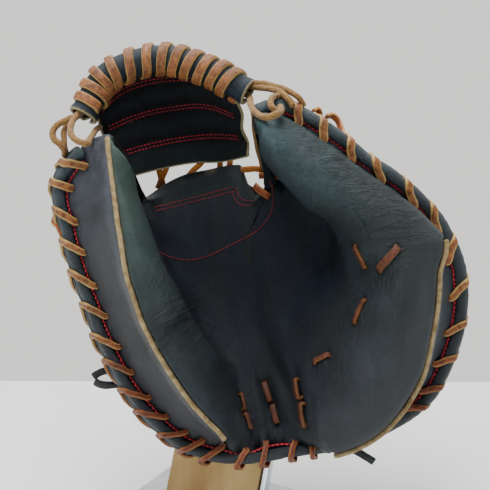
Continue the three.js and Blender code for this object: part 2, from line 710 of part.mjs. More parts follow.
const CROWN_WRAPS = 12
const CROWN_STEPS = 10
const CROWN_START = 262
const CROWN_CROSSING = [-100, -76, -52, -28, -4]

function crownStation(wrap, degrees) {
  const radius = TUBE_RADIUS + WEB_THICK / 2 + LACE.thick / 2 + 1.1
  const u = 0.05 + (0.9 * wrap) / CROWN_WRAPS
  return { centre: roundTheTube(u, degrees, radius, 1.2), side: tubeFrame(u).along }
}

// The lace crosses the panel at the back of the tube, a little below its middle
function crownLace() {
  const count = CROWN_WRAPS * CROWN_STEPS
  const stations = Array.from({ length: count + 1 }, (_, k) => {
    const wrap = k / CROWN_STEPS
    return crownStation(wrap, CROWN_START - wrap * 360)
  })
  const holes = Array.from({ length: CROWN_WRAPS }, (_, i) => {
    const crossing = CROWN_CROSSING.map((degrees) => {
      return crownStation(i + (CROWN_START - degrees) / 360, degrees)
    })
    return strap(crossing, LACE.width + HOLE_ROOM, LACE.thick + HOLE_ROOM + 0.2)
  })
  return { geometry: strap(stations, LACE.width, LACE.thick), holes }
}

const crown = crownLace()

const rimHoles = rimLaces.flatMap((lace) => lace.holes)
const palmHoles = stitches.flatMap((stitch) => stitch.holes)
const thumbBackAngles = [...WEB_ANGLES.filter((a) => a > BACK_SEAM + 1),
  ...PAD_ANGLES.filter((a) => a < HEEL_GAP.from)]
const fingerBackAngles = [...PAD_ANGLES.filter((a) => a > HEEL_GAP.to),
  ...WEB_ANGLES.filter((a) => a < BACK_SEAM - 1).map((a) => a + 360)]

// The back keeps clear of the palm where the two come close, at the ends of the pads
const BACK_GAP = 0.5
const palmShadows = [[0, 1, 0], [1, 0.5, 0], [-1, 0.5, 0]].map((away) => {
  return palmGeometry().translate(...away.map((share) => share * BACK_GAP))
})

put('palm_shell', cut(palmGeometry(), [...rimHoles, ...palmHoles]), leather(COLOURS.navy))
put('thumb_side_panel', cut(panelGeometry(THUMB_PANEL), rimHoles), leather(COLOURS.slate))
put('finger_side_panel', cut(panelGeometry(FINGER_PANEL), rimHoles), leather(COLOURS.slate))
put('thumb_piping', pipingGeometry(THUMB_PANEL), leather(COLOURS.piping))
put('finger_piping', pipingGeometry(FINGER_PANEL), leather(COLOURS.piping))
put('rim_roll_front', rollGeometry(PAD_START, PAD_END, -1), leather(COLOURS.navy))
put('rim_roll_back_thumb', rollGeometry(PAD_START, HEEL_GAP.from, 1), leather(COLOURS.navy))
put('rim_roll_back_fingers', rollGeometry(HEEL_GAP.to, PAD_END, 1), leather(COLOURS.navy))
const backShells = [
  { name: 'back_shell_thumb', angles: thumbBackAngles, lace: rimLaces[0] },
  { name: 'back_shell_fingers', angles: fingerBackAngles, lace: rimLaces[2] },
]
for (const { name, angles, lace } of backShells) {
  put(name, cut(backGeometry(angles), [...lace.holes, ...palmShadows]), leather(COLOURS.navy))
}
put('web', cut(webGeometry(), crown.holes), leather(COLOURS.navy))
put('crown_lace', crown.geometry, leather(COLOURS.lace))
for (const lace of rimLaces) put(lace.name, lace.geometry, leather(COLOURS.lace))
for (const stitch of stitches) put(stitch.name, stitch.geometry, leather(COLOURS.lace))

// Strap across the back of the wrist, outside both halves of the back
const STRAP = { thick: 3.5, halfWidth: 15, clearance: 2.7, depth: 104, fall: 8.7e-6, steps: 14, low: 88 }
const STRAP_ARC = { from: 230, to: 328 }

function strapGeometry() {
  const middle = (STRAP_ARC.from + STRAP_ARC.to) / 2
  const across = Array.from({ length: STRAP.steps + 1 }, (_, k) => {
    return lerp(STRAP_ARC.from, STRAP_ARC.to, k / STRAP.steps)
  })
  const rise = (angle) => STRAP.depth - STRAP.fall * (angle - middle) ** 4
  const grid = across.map((angle) => [-1, 0, 1].map((side) => {
    const R = STRAP.low / Math.max(0.88, Math.cos(radians(angle - middle))) + side * STRAP.halfWidth
    return around(angle, R, Math.max(rise(angle), backAbove(angle, R) + STRAP.clearance))
  }))
  return thickSheet(grid, STRAP.thick)
}

// Depth of the back's outer face at a distance, or in front of everything past its ends
function backAbove(angle, R) {
  const held = angle < HEEL_GAP.from ? HEEL_GAP.from - 1 : Math.max(angle, HEEL_GAP.to + 1)
  const near = angle < HEEL_GAP.from || angle > HEEL_GAP.to ? angle : held
  const edgeR = column('rimR', near) - EDGE_INSET
  const s = THREE.MathUtils.clamp((edgeR - R) / (edgeR - windowRadius(near)), 0, 1)
  return back(near, s, false).y
}

put('wrist_strap', strapGeometry(), leather(COLOURS.navy))

// Round laces, each a hand-chosen route as [across, up, depth] in the viewer's sight
const JUNCTION = { colour: COLOURS.roundLace, radius: 2.2 }
const BASE_LACE = { colour: COLOURS.amber, radius: 1.8 }
const ROUND_LACES = [
  { name: 'junction_lace_left_1', ...JUNCTION,
    route: [[-113.8, 96.65, 4], [-116, 89, 1], [-124, 87, -2], [-133, 82, -5], [-134, 75, -6],
      [-129, 70, -5], [-125, 68.5, -7]] },
  { name: 'junction_lace_left_2', ...JUNCTION,
    route: [[-117, 90.5, -3.8], [-121, 86, -11], [-122.5, 81, -17], [-121, 76, -22], [-117, 73, -26],
      [-112, 72, -29]] },
  { name: 'junction_lace_right_1', ...JUNCTION,
    route: [[-2.1, 113, 5], [5, 107, 0], [13, 109.5, -8], [20, 109.5, -16], [25, 106, -23],
      [28, 101, -26]] },
  { name: 'junction_lace_right_2', ...JUNCTION,
    route: [[1, 99, -2], [2, 93, -20], [6, 88, -36], [12, 84, -46], [18, 85, -48], [23, 89, -44]] },
  { name: 'web_base_lace_1', ...BASE_LACE, route: [[-59, 57, 38], [-59, 50, 44], [-59, 43, 43.4]] },
  { name: 'web_base_lace_2', ...BASE_LACE, route: [[-34, 61, 44], [-34, 56, 46], [-34, 48, 44.8]] },
  { name: 'web_base_lace_3', ...BASE_LACE, route: [[-16, 61, 42.5], [-16, 57, 45], [-16, 51, 44]] },
]

for (const lace of ROUND_LACES) {
  const route = smooth(lace.route.map((point) => seen(...point)), 2)
  put(lace.name, roundTube(route, lace.radius, TUBE_SIDES + 2), leather(lace.colour))
}

// Stand: a slanting plate that goes up into the wrist opening, and a flat base under it
const PLATE = { width: 84, thick: 2, backThick: 3.2, turn: -30, lean: 22, top: 101, foot: 6.4, lift: 1.8 }
const BASE = { width: 150, depth: 110, thick: 6, behind: 20 }
const stand = new THREE.Group()
stand.rotation.z = radians(PLATE.turn)
stand.position.set(0, -BASE.behind, 0).applyEuler(stand.rotation)
model.add(stand)

const metal = (colour) => new THREE.MeshStandardMaterial({ color: colour, roughness: 0.35, metalness: 1 })

function slab(width, thick, forward) {
  const height = (PLATE.top - PLATE.foot) / Math.cos(radians(PLATE.lean))
  const box = new THREE.BoxGeometry(width, thick, height)
  box.translate(0, forward, height / 2)
  box.rotateX(-radians(PLATE.lean))
  box.translate(0, 0, PLATE.foot + PLATE.lift)
  return box
}

const behindPlate = (PLATE.thick + PLATE.backThick) / 2 + 0.3
const base = new THREE.BoxGeometry(BASE.width, BASE.depth, BASE.thick)
base.translate(0, BASE.behind, BASE.thick / 2)
put('stand_plate', slab(PLATE.width, PLATE.thick, 0), metal(COLOURS.brushed), stand)
put('stand_back', slab(PLATE.width - 6, PLATE.backThick, behindPlate), metal(COLOURS.pale), stand)
put('stand_base', base, metal(COLOURS.pale), stand)

export default model
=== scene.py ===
"""A left-hand catcher's mitt on a small metal stand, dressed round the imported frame.

The mitt is drawn in its own upright frame in millimetres, (across, depth, up), with the viewer at
negative depth. It is then leant back and moved onto its stand, in metres.
"""
import math

import bpy
import numpy as np
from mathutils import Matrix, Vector
from mathutils.bvhtree import BVHTree


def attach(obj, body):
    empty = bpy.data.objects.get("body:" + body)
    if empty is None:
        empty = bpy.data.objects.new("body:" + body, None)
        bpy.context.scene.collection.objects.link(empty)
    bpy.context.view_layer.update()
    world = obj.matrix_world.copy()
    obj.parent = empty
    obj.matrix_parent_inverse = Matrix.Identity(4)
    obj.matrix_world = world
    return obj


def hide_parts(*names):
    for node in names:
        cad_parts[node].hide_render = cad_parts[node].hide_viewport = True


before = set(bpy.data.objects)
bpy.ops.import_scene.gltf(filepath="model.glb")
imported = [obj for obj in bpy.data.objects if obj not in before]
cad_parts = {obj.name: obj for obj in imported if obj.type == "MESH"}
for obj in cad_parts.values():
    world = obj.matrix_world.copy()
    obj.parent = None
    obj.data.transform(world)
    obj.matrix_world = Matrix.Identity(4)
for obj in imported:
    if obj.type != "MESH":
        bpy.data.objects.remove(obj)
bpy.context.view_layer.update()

MM = 0.001

# Driving dimensions. Most repeat the part's source; the laces are drawn a little differently.
LEAN = math.radians(15)
MITT_PLACE = (20.0, -55.3, 70.0)
POCKET_X, POCKET_Z = -10.5, 134.4
POCKET_FRONT, POCKET_LINING = 42.0, 54.0
VIEW_X, VIEW_Z, VIEW_DISTANCE = -3.5, 155.4, 700.0
ROLL_RADIUS = 3.9
ROLL_SPACING = 8.4
EDGE_INSET = 8.9
PANEL_THICK = 1.8
PANEL_RECESS = 2.6
PIPING_CHANNEL = 2.6
LACE_WIDTH, LACE_THICK = 6.2, 2.3
BACK_THICK = 2.5
WEB_THICK = 2.6
TUBE_RADIUS = 7.7
HOLE_INSET = 8.4
BACK_TOP = 94.0
BACK_CLEARANCE = 9.0

COLUMNS = ("angle", "rimR", "rimY", "pipeR", "pipeY", "crestR", "crestY", "wallR", "wallY",
           "footR", "footY", "skew", "bulge")
SECTIONS = np.array([
    [84.5, 89, 46, 76, 43.5, 74, 43.3, 72, 43, 63, 41, 0, 0],
    [85.2, 68, 46, 56, 42.5, 54.5, 42, 53, 41.5, 48, 40.5, 0, 0],
    [85.8, 74, 47, 62, 44, 60.5, 43.5, 59, 43, 52, 41.5, 0, 0],
    [86.5, 81.5, 48, 69, 46, 67.5, 45.5, 66, 45, 57, 43, 0, 0],
    [87.3, 89, 49, 77, 47.5, 75.5, 47, 74, 46.5, 62, 44, 0, 0],
    [88.2, 90, 49, 78, 48, 76, 48, 74, 47, 62, 44.5, 0, 0],
    [103, 89, 49, 78, 48, 76, 48, 74, 47, 62, 44, 0, 0],
    [122, 94, 49, 82, 48, 80, 48, 77, 47, 64, 44, 2, 0],
    [129.8, 99, 47.5, 88, 44.6, 86, 44, 84, 43.4, 70, 41.8, 4.5, 0],
    [131.3, 128.8, -14, 127, -25, 109, -27, 97, -19, 95.5, 46, 4.7, 0],
    [134, 134, -11, 120.7, -28, 106, -30, 92.5, -19.5, 93.2, 44.5, 4, 1],
    [137, 138, -8, 113, -30, 102, -32, 88, -20, 91, 43, 3, 2],
    [143, 144, -2, 101, -34, 91, -38, 77, -22, 80, 40, 1.5, 4],
    [150, 145.5, 0, 90.3, -39, 79, -43, 66, -24, 70, 35.5, 0.5, 5],
    [165, 128.5, 5, 76.2, -46, 65, -50, 52.4, -28, 56, 32, 0, 6],
    [180, 116.5, 10, 69.6, -50, 58, -54, 44.2, -30, 47, 33, 0, 7],
    [195, 110.5, 12, 66.4, -49, 54.5, -53, 39.5, -28, 42, 34, 0, 7],
    [210, 111, 12, 67, -49, 55, -53, 39, -27, 42, 34, 0, 7],
    [225, 116, 12, 70.8, -44, 60, -48, 41.4, -22, 44, 33, 0, 7],
    [240, 124, 12, 79, -38, 64, -42, 46, -14, 48, 31, 0, 6],
    [255, 132.4, 8, 94, -28, 76, -31, 55, -6, 55, 29, 0, 4],
    [264, 134.5, 5, 107.5, -15, 94, -18, 68, 4, 60, 27, 0, 1],
    [272, 135, 4, 124, -4, 105, -3, 80, 10, 60, 26, 0, 0],
    [285, 136, 7, 122, 3, 106, 7, 78, 17, 52, 31, 0, 0],
    [294, 142, 14, 134, 2, 112, -6, 84, 10, 54, 29, 0, 1],
    [300, 148.5, 24, 145, -3, 116, -22, 80, -2, 50, 27, 0, 3],
    [315, 162, 30, 150, -8, 112, -32, 77, -6, 50, 24, 0, 5],
    [330, 173, 32, 147.5, -12, 107, -36, 74, -6, 48, 24, 0, 5],
    [345, 172.5, 30, 141, -16, 108, -38, 77, -6, 52, 25, 0, 5],
    [360, 168, 24, 139.8, -18, 109, -38, 80, -8, 60, 26, 0, 5],
    [369, 161, 19.5, 146.5, -17, 108, -37, 78.5, -10, 67, 27.8, 0, 4.6],
    [375, 155, 15, 139, -17, 106, -36, 77, -12, 72, 29, 0, 4],
    [390, 138, 5, 121, -17, 97, -36, 74, -20, 79, 31, 0, 3],
    [405, 126, -2, 110, -23, 87, -40, 67, -24, 73, 33, 0, 2],
    [420, 125, -8, 108, -27, 89, -42, 70, -26, 77, 37, 0, 2],
    [433, 126.5, -12, 112, -29, 95, -42, 77, -28, 83, 41, -0.5, 1],
    [439, 123, -14, 112, -28, 100, -40, 84, -28, 89, 44, -1.5, 0],
    [442.6, 119, -17, 110, -28, 103, -34, 97, -26, 94, 46, -2.5, 0],
])
PAD_START, PAD_END = 131.3, 442.6
WEB_START, WEB_END = 84.5, 129.8
THUMB_PANEL = (132.4, 266.5)
FINGER_PANEL = (299.5, 369.5)
HEEL_GAP = (256.0, 298.0)
BACK_SEAM = 112.0

random = np.random.default_rng(7)


def radians(degrees):
    return np.radians(degrees)


def lerp(a, b, t):
    return a + (b - a) * t


def smoothstep(low, high, value):
    t = np.clip((np.asarray(value, float) - low) / (high - low), 0, 1)
    return t * t * (3 - 2 * t)


def bell(value, width):
    return np.exp(-(np.asarray(value, float) / width) ** 2)


def hermite(a, b, slope_a, slope_b, t):
    curve = (2 * t ** 3 - 3 * t ** 2 + 1) * a + (t ** 3 - 2 * t ** 2 + t) * slope_a
    return curve + (3 * t ** 2 - 2 * t ** 3) * b + (t ** 3 - t ** 2) * slope_b


def unit(vectors):
    vectors = np.asarray(vectors, float)
    length = np.linalg.norm(vectors, axis=-1, keepdims=True)
    return vectors / np.maximum(length, 1e-9)


def column_tangents(values):
    slopes = np.diff(values) / np.diff(SECTIONS[:, 0])
    tangents = np.zeros_like(values)
    before, after = slopes[:-1], slopes[1:]
    same = before * after > 0
    both = np.where(same, before + after, 1)
    tangents[1:-1] = np.where(same, 2 * before * after / both, 0)
    return tangents


TANGENTS = {name: column_tangents(SECTIONS[:, k]) for k, name in enumerate(COLUMNS) if k}


def column(name, turned):
    """Monotone cubic through a named column, so that no value swings past its neighbours."""
    angle = np.asarray(turned, float)
    angle = np.where(angle > PAD_END + 1, angle - 360, angle)
    rows, values, tangents = SECTIONS[:, 0], SECTIONS[:, COLUMNS.index(name)], TANGENTS[name]
    i = np.clip(np.searchsorted(rows, angle, side="right") - 1, 0, len(rows) - 2)
    span = rows[i + 1] - rows[i]
    t = np.clip((angle - rows[i]) / span, 0, 1)
    return hermite(values[i], values[i + 1], tangents[i] * span, tangents[i + 1] * span, t)


def around(angle, R, Y):
    """A point at a distance and angle round the pocket's axis."""
    a = radians(angle)
    return np.stack(np.broadcast_arrays(POCKET_X + R * np.cos(a), Y, POCKET_Z + R * np.sin(a)), axis=-1)


def seen(across, up, depth):
    """A point given across and up as the viewer sees it, pushed back along the line of sight."""
    spread = 1 + depth / VIEW_DISTANCE
    return np.array([VIEW_X + across * spread, depth, VIEW_Z + up * spread])


def across_up(points):
    """Where the viewer sees points, in millimetres across and up."""
    spread = 1 + points[..., 1] / VIEW_DISTANCE
    return (points[..., 0] - VIEW_X) / spread, (points[..., 2] - VIEW_Z) / spread


def controls(angle):
    """Control points of each section from the rim to the pocket's centre, as (R, Y)."""
    get = {name: column(name, angle) for name in COLUMNS[1:]}

    def pair(r, y):
        return np.stack(np.broadcast_arrays(r, y), axis=-1)

    edge = pair(get["rimR"] - inset(angle), get["rimY"] - 1)
    pipe = pair(get["pipeR"], get["pipeY"])
    along = unit(pipe - edge)
    outwards = pair(along[..., 1], -along[..., 0])
    side = (edge + pipe) / 2 + outwards * get["bulge"][..., None]
    foot = pair(get["footR"], get["footY"])
    middle = pair(foot[..., 0] * 0.45, lerp(foot[..., 1], POCKET_FRONT, 0.8))
    centre = pair(0 * get["footR"], POCKET_FRONT)
    crest = pair(get["crestR"], get["crestY"])
    wall = pair(get["wallR"], get["wallY"])
    return np.stack([edge, side, pipe, crest, wall, foot, middle, centre], axis=1)


def section_tangents(points):
    steps = np.diff(points, axis=1)
    lengths = np.linalg.norm(steps, axis=2, keepdims=True)
    tangents = np.zeros_like(points)
    tangents[:, 0] = steps[:, 0] / 2
    tangents[:, -1] = steps[:, -1] / 2
    before, after = lengths[:, :-1], lengths[:, 1:]
    held = np.minimum(np.minimum(before, after) * 1.4, (before + after) / 2)
    tangents[:, 1:-1] = (steps[:, :-1] / before + steps[:, 1:] / after) * 0.5 * held
    return tangents


def on_section(points, tangents, t):
    i = np.clip(t.astype(int), 0, points.shape[1] - 2)
    rows = np.arange(len(points))[:, None]
    f = (t - i)[..., None]
    return hermite(points[rows, i], points[rows, i + 1], tangents[rows, i], tangents[rows, i + 1], f)


def inset(angle):
    """How far the leather's edge lies within the rim: nearly nothing at the thumb's tip, past the rolls."""
    angle = np.asarray(angle, float)
    return EDGE_INSET - 8.4 * (angle > WEB_END) * smoothstep(143.5, 138.5, angle)


# Further turns of the palm's top edge where it runs on behind the finger pad
NOTCH_TURNS = np.array([[84.5, -18], [85.2, -10], [85.8, -5], [86.5, -1.5], [87.5, -0.3], [88.2, 0]])


def tucked(angle, t, late=1.5):
    """Degrees by which sections turn so that the palm runs on behind both pads, out of sight."""
    full = np.asarray(angle, float)
    turned = np.where(full > PAD_END + 1, full - 360, full)
    web_side = np.interp(turned, NOTCH_TURNS[:, 0], NOTCH_TURNS[:, 1])
    web_side = web_side * lerp(1, 0.79, smoothstep(4.0, 4.9, t))
    web_side = web_side + lerp(12.5, 6, np.minimum(1, t / 5) ** 2) * smoothstep(113, WEB_END, turned)
    pad_side = 6.5 * smoothstep(150, PAD_START, turned) - 16 * smoothstep(408, 443, turned)
    pad_side = pad_side * smoothstep(late, 4.9, t)
    share = np.where(turned < PAD_START, smoothstep(WEB_END, PAD_START, turned), 1)
    return lerp(web_side, pad_side, share) * smoothstep(6.9, 5.2, t)


def skewed(angle, t, late=1.5):
    return angle + column("skew", angle) * np.minimum(1, t / 5) ** 2 + tucked(angle, t, late)


def all_round(step=1.0):
    """Angles all the way round, closer together where the pads end."""
    ends = [np.linspace(WEB_END - 0.3, PAD_START + 0.7, 22), np.linspace(PAD_END - 0.6, PAD_END, 6),
            PAD_END + np.linspace(0.15, 1.75, 12), WEB_START + np.linspace(0, 4, 44)]
    rest = [np.arange(WEB_START + 4.2, WEB_END - 0.3, step), np.arange(PAD_START + 0.7, PAD_END - 0.6, step)]
    angles = np.concatenate([*ends, *rest])
    angles = np.where(angles < WEB_START, angles + 360, angles)
    return np.unique(np.round(angles, 4))


def floor_fit():
    """A smooth bowl through the foot of the pocket's walls, as a polynomial in across and up."""
    angles = np.arange(WEB_START, PAD_END, 1.0)
    foot = around(skewed(angles, 5.0), column("footR", angles), column("footY", angles))
    x = np.append(foot[:, 0] - POCKET_X, np.zeros(60)) / 100
    z = np.append(foot[:, 2] - POCKET_Z, np.zeros(60)) / 100
    depth = np.append(foot[:, 1], np.full(60, POCKET_FRONT))
    return np.linalg.lstsq(floor_terms(x, z), depth, rcond=None)[0]


def floor_terms(x, z):
    return np.stack([x ** i * z ** j for i in range(5) for j in range(5 - i)], axis=-1)


FLOOR = floor_fit()


def floor_depth(points):
    return floor_terms((points[..., 0] - POCKET_X) / 100, (points[..., 2] - POCKET_Z) / 100) @ FLOOR


def front(angle, t, sunk=0.0):
    """Points of the palm side, sunk below the surface by a depth: one row of t for each angle."""
    angle = np.atleast_1d(np.asarray(angle, float))
    t = np.atleast_1d(np.asarray(t, float))
    if t.ndim == 1:
        t = np.broadcast_to(t, (len(angle), len(t)))
    points = controls(angle)
    tangents = section_tangents(points)
    place = on_section(points, tangents, t)
    behind = on_section(points, tangents, np.maximum(0, t - 0.02))
    step = unit(on_section(points, tangents, t + 0.02) - behind)
    R = place[..., 0] + step[..., 1] * sunk
    Y = place[..., 1] - step[..., 0] * sunk
    found = around(skewed(angle[:, None], t, 4.0), R, Y)
    foot = around(skewed(angle, 5.0), column("footR", angle), column("footY", angle))
    residue = (column("footY", angle) - floor_depth(foot))[:, None] * np.clip(1 - (t - 5) / 1.1, 0, 1) ** 2
    smooth_floor = floor_depth(found) + residue
    found[..., 1] = lerp(found[..., 1], smooth_floor, smoothstep(4.75, 5.35, t))
    return found


def front_at(angle, t, sunk=0.0):
    return front([angle], [t], sunk)[0, 0]


def lift(angle, t, height):
    """A point held above the palm side along its true normal."""
    grid = front([angle - 1, angle, angle + 1], [max(0, t - 0.05), t, t + 0.05])
    normal = unit(np.cross(grid[1, 2] - grid[1, 0], grid[2, 1] - grid[0, 1]))
    outwards = front_at(angle, t, -1.0) - grid[1, 1]
    if normal @ outwards < 0:
        normal = -normal
    return grid[1, 1] + normal * height


def run_along(points):
    """How far a path has run at each of its points."""
    return np.concatenate([[0], np.cumsum(np.linalg.norm(np.diff(points, axis=0), axis=1))])


def read_off(at, places, rows):
    """Rows of three values, such as points, read off at any places along them."""
    return np.stack([np.interp(at, places, rows[:, k]) for k in range(3)], axis=1)


def run_of(angle, ts):
    """How far the section has run from its edge at each t."""
    points = controls(np.array([angle]))
    return run_along(on_section(points, section_tangents(points), np.asarray(ts, float)[None])[0])


FINE_T = np.linspace(0, 7, 351)


def t_after(angle, length):
    """Where the section has run a given length from its edge."""
    return float(np.interp(length, run_of(angle, FINE_T), FINE_T))


def seen_at(angle, R):
    """t of the point nearest the viewer that is seen at a distance from the pocket's axis."""
    points = controls(np.array([angle]))
    place = on_section(points, section_tangents(points), FINE_T[None])[0]
    shown = place[:, 0] * VIEW_DISTANCE / (VIEW_DISTANCE + place[:, 1])
    hits = np.nonzero((FINE_T > 2.9) & (shown <= R))[0]
    return float(FINE_T[hits[0]]) if len(hits) else 6.8


def in_web(angle):
    return (angle < PAD_START) | (angle > PAD_END)


def lining_frame(angle):
    web = in_web(np.where(np.asarray(angle) > PAD_END + 1, np.asarray(angle) - 360, angle))
    return {
        "rimR": column("rimR", angle) - inset(angle),
        "rimY": column("rimY", angle) + 2.5,
        "footR": column("footR", angle) + np.where(web, 1, 5),
        "footY": column("footY", angle) + 11,
        "stall": np.where(web, 0, 7),
    }


def lining_depth(angle, R):
    f = lining_frame(angle)
    inner = lerp(f["footY"], POCKET_LINING, np.sqrt(np.clip(1 - R / f["footR"], 0, 1)))
    share = np.clip((f["rimR"] - R) / (f["rimR"] - f["footR"]), 0, 1)
    outer = lerp(f["rimY"], f["footY"], share) - f["stall"] * np.sin(np.pi * share)
    return np.where(R < f["footR"], inner, outer)


def lining(angle, t):
    f = lining_frame(angle)
    R = lerp(f["rimR"], f["footR"], t) if t <= 1 else lerp(f["footR"], 0, t - 1)
    return around(skewed(angle, 5 * min(t, 1)), R, lining_depth(angle, R))


WINDOW = np.array([[84.5, 14], [112, 12], [140, 16], [180, 30], [215, 45], [240, 62], [256, 84],
                   [298, 86], [315, 66], [340, 46], [370, 32], [410, 20], [444.5, 14]])


def window_radius(angle):
    return np.interp(angle, WINDOW[:, 0], WINDOW[:, 1])


def back(angle, s, inner=False):
    """Points of the mitt's back, from the rim at s = 0 to the window at s = 1."""
    angle = np.asarray(angle, float)
    shrink = BACK_THICK if inner else 0
    edge_r = column("rimR", angle) - inset(angle) - shrink
    edge_y = column("rimY", angle) + 4
    R = lerp(edge_r, window_radius(angle), s)
    rise = np.clip(1 - (R / edge_r) ** 2.5, 0, 1) ** 0.7
    dome = edge_y + (BACK_TOP - shrink - edge_y) * rise
    behind = lining_depth(angle, np.minimum(R, edge_r)) + BACK_CLEARANCE * np.minimum(1, 8 * s) - shrink
    share = (edge_r - R) / (edge_r - lining_frame(angle)["footR"])
    deeper = np.maximum(dome, behind) + np.log1p(np.exp(-np.abs(dome - behind) / 1.5)) * 1.5 * (s > 0.02)
    return around(skewed(angle, 5 * np.clip(share, 0, 1)), R, deeper)


def lift_back(angle, s, height):
    outwards = back(angle, s - 0.04) - back(angle, s + 0.04)
    normal = unit(np.cross(outwards, back(angle + 1, s) - back(angle - 1, s)))
    if normal[1] < 0:
        normal = -normal
    return back(angle, s) + normal * height


# Noise on a lattice, seeded, for soft unevenness in the meshes
LATTICE = random.random((32, 32, 32)) * 2 - 1


def noise(points, wavelength, shift=0.0):
    p = np.asarray(points, float) / wavelength + shift
    cell = np.floor(p).astype(int)
    f = p - cell
    f = f * f * (3 - 2 * f)
    total = 0
    for corner in np.ndindex(2, 2, 2):
        weight = 1
        for k in range(3):
            weight = weight * (f[..., k] if corner[k] else 1 - f[..., k])
        index = tuple((cell[..., k] + corner[k]) % 32 for k in range(3))
        total = total + weight * LATTICE[index]
    return total


def leant(points):
    """From the mitt's own frame in millimetres to the part's frame in metres."""
    p = np.asarray(points, float)
    x = p[..., 0] + MITT_PLACE[0]
    y = p[..., 1] * math.cos(LEAN) + p[..., 2] * math.sin(LEAN) + MITT_PLACE[1]
    z = p[..., 2] * math.cos(LEAN) - p[..., 1] * math.sin(LEAN) + MITT_PLACE[2]
    return np.stack([x, y, z], axis=-1) * MM


# Materials
TINT = "tint"
RAW = "raw"
FOLD = "fold"


def srgb(r, g, b):
    """A colour given in display values from 0 to 255, as linear light."""
    c = np.array([r, g, b], float) / 255
    return np.where(c <= 0.04045, c / 12.92, ((c + 0.055) / 1.055) ** 2.4)


def feed(tree, socket, value):
    """Links a socket to another one, or sets it to a plain value."""
    if isinstance(value, bpy.types.NodeSocket):
        tree.links.new(value, socket)
    else:
        socket.default_value = value


def node(tree, kind, settings=None, **inputs):
    made = tree.nodes.new(kind)
    for key, value in (settings or {}).items():
        setattr(made, key, value)
    for key, value in inputs.items():
        feed(tree, made.inputs[int(key[1:]) if key[1:].isdigit() else key.replace("_", " ")], value)
    return made


def new_material(name):
    material = bpy.data.materials.new(name)
    material.use_nodes = True
    tree = material.node_tree
    tree.nodes.clear()
    shader = node(tree, "ShaderNodeBsdfPrincipled")
    output = node(tree, "ShaderNodeOutputMaterial")
    tree.links.new(shader.outputs["BSDF"], output.inputs["Surface"])
    return material, tree, shader


def set_shader(tree, shader, **values):
    for key, value in values.items():
        feed(tree, shader.inputs[key.replace("_", " ")], value)


def noise_node(tree, scale, detail=4.0, roughness=0.55, distortion=0.0, stretch=None):
    place = node(tree, "ShaderNodeTexCoord").outputs["Object"]
    if stretch:
        place = node(tree, "ShaderNodeMapping", i0=place, i3=stretch).outputs[0]
    return node(tree, "ShaderNodeTexNoise", Vector=place, Scale=scale, Detail=detail,
                Roughness=roughness, Distortion=distortion)


def ramp(tree, value, *stops):
    made = node(tree, "ShaderNodeValToRGB", i0=value)
    elements = made.color_ramp.elements
    while len(elements) < len(stops):
        elements.new(0.5)
    for element, (position, shade) in zip(elements, stops):
        element.position = position
        element.color = (shade, shade, shade, 1) if np.isscalar(shade) else (*shade, 1)
    return made.outputs[0]


def math_node(tree, operation, a, b):
    return node(tree, "ShaderNodeMath", {"operation": operation}, i0=a, i1=b).outputs[0]


def multiply_colours(tree, a, b, share=1.0):
    made = node(tree, "ShaderNodeMix", {"data_type": "RGBA", "blend_type": "MULTIPLY"}, i0=share)
    tree.links.new(a, made.inputs[6])
    tree.links.new(b, made.inputs[7])
    return made.outputs[2]


def mix_colours(tree, share, a, b):
    made = node(tree, "ShaderNodeMix", {"data_type": "RGBA"}, i0=share)
    for socket, value in ((made.inputs[6], a), (made.inputs[7], b)):
        if isinstance(value, bpy.types.NodeSocket):
            tree.links.new(value, socket)
        else:
            socket.default_value = (*value, 1)
    return made.outputs[2]


def bump(tree, height, strength, distance, below=None):
    inputs = {"Height": height, "Strength": strength, "Distance": distance}
    if below is not None:
        inputs["Normal"] = below
    return node(tree, "ShaderNodeBump", **inputs).outputs[0]


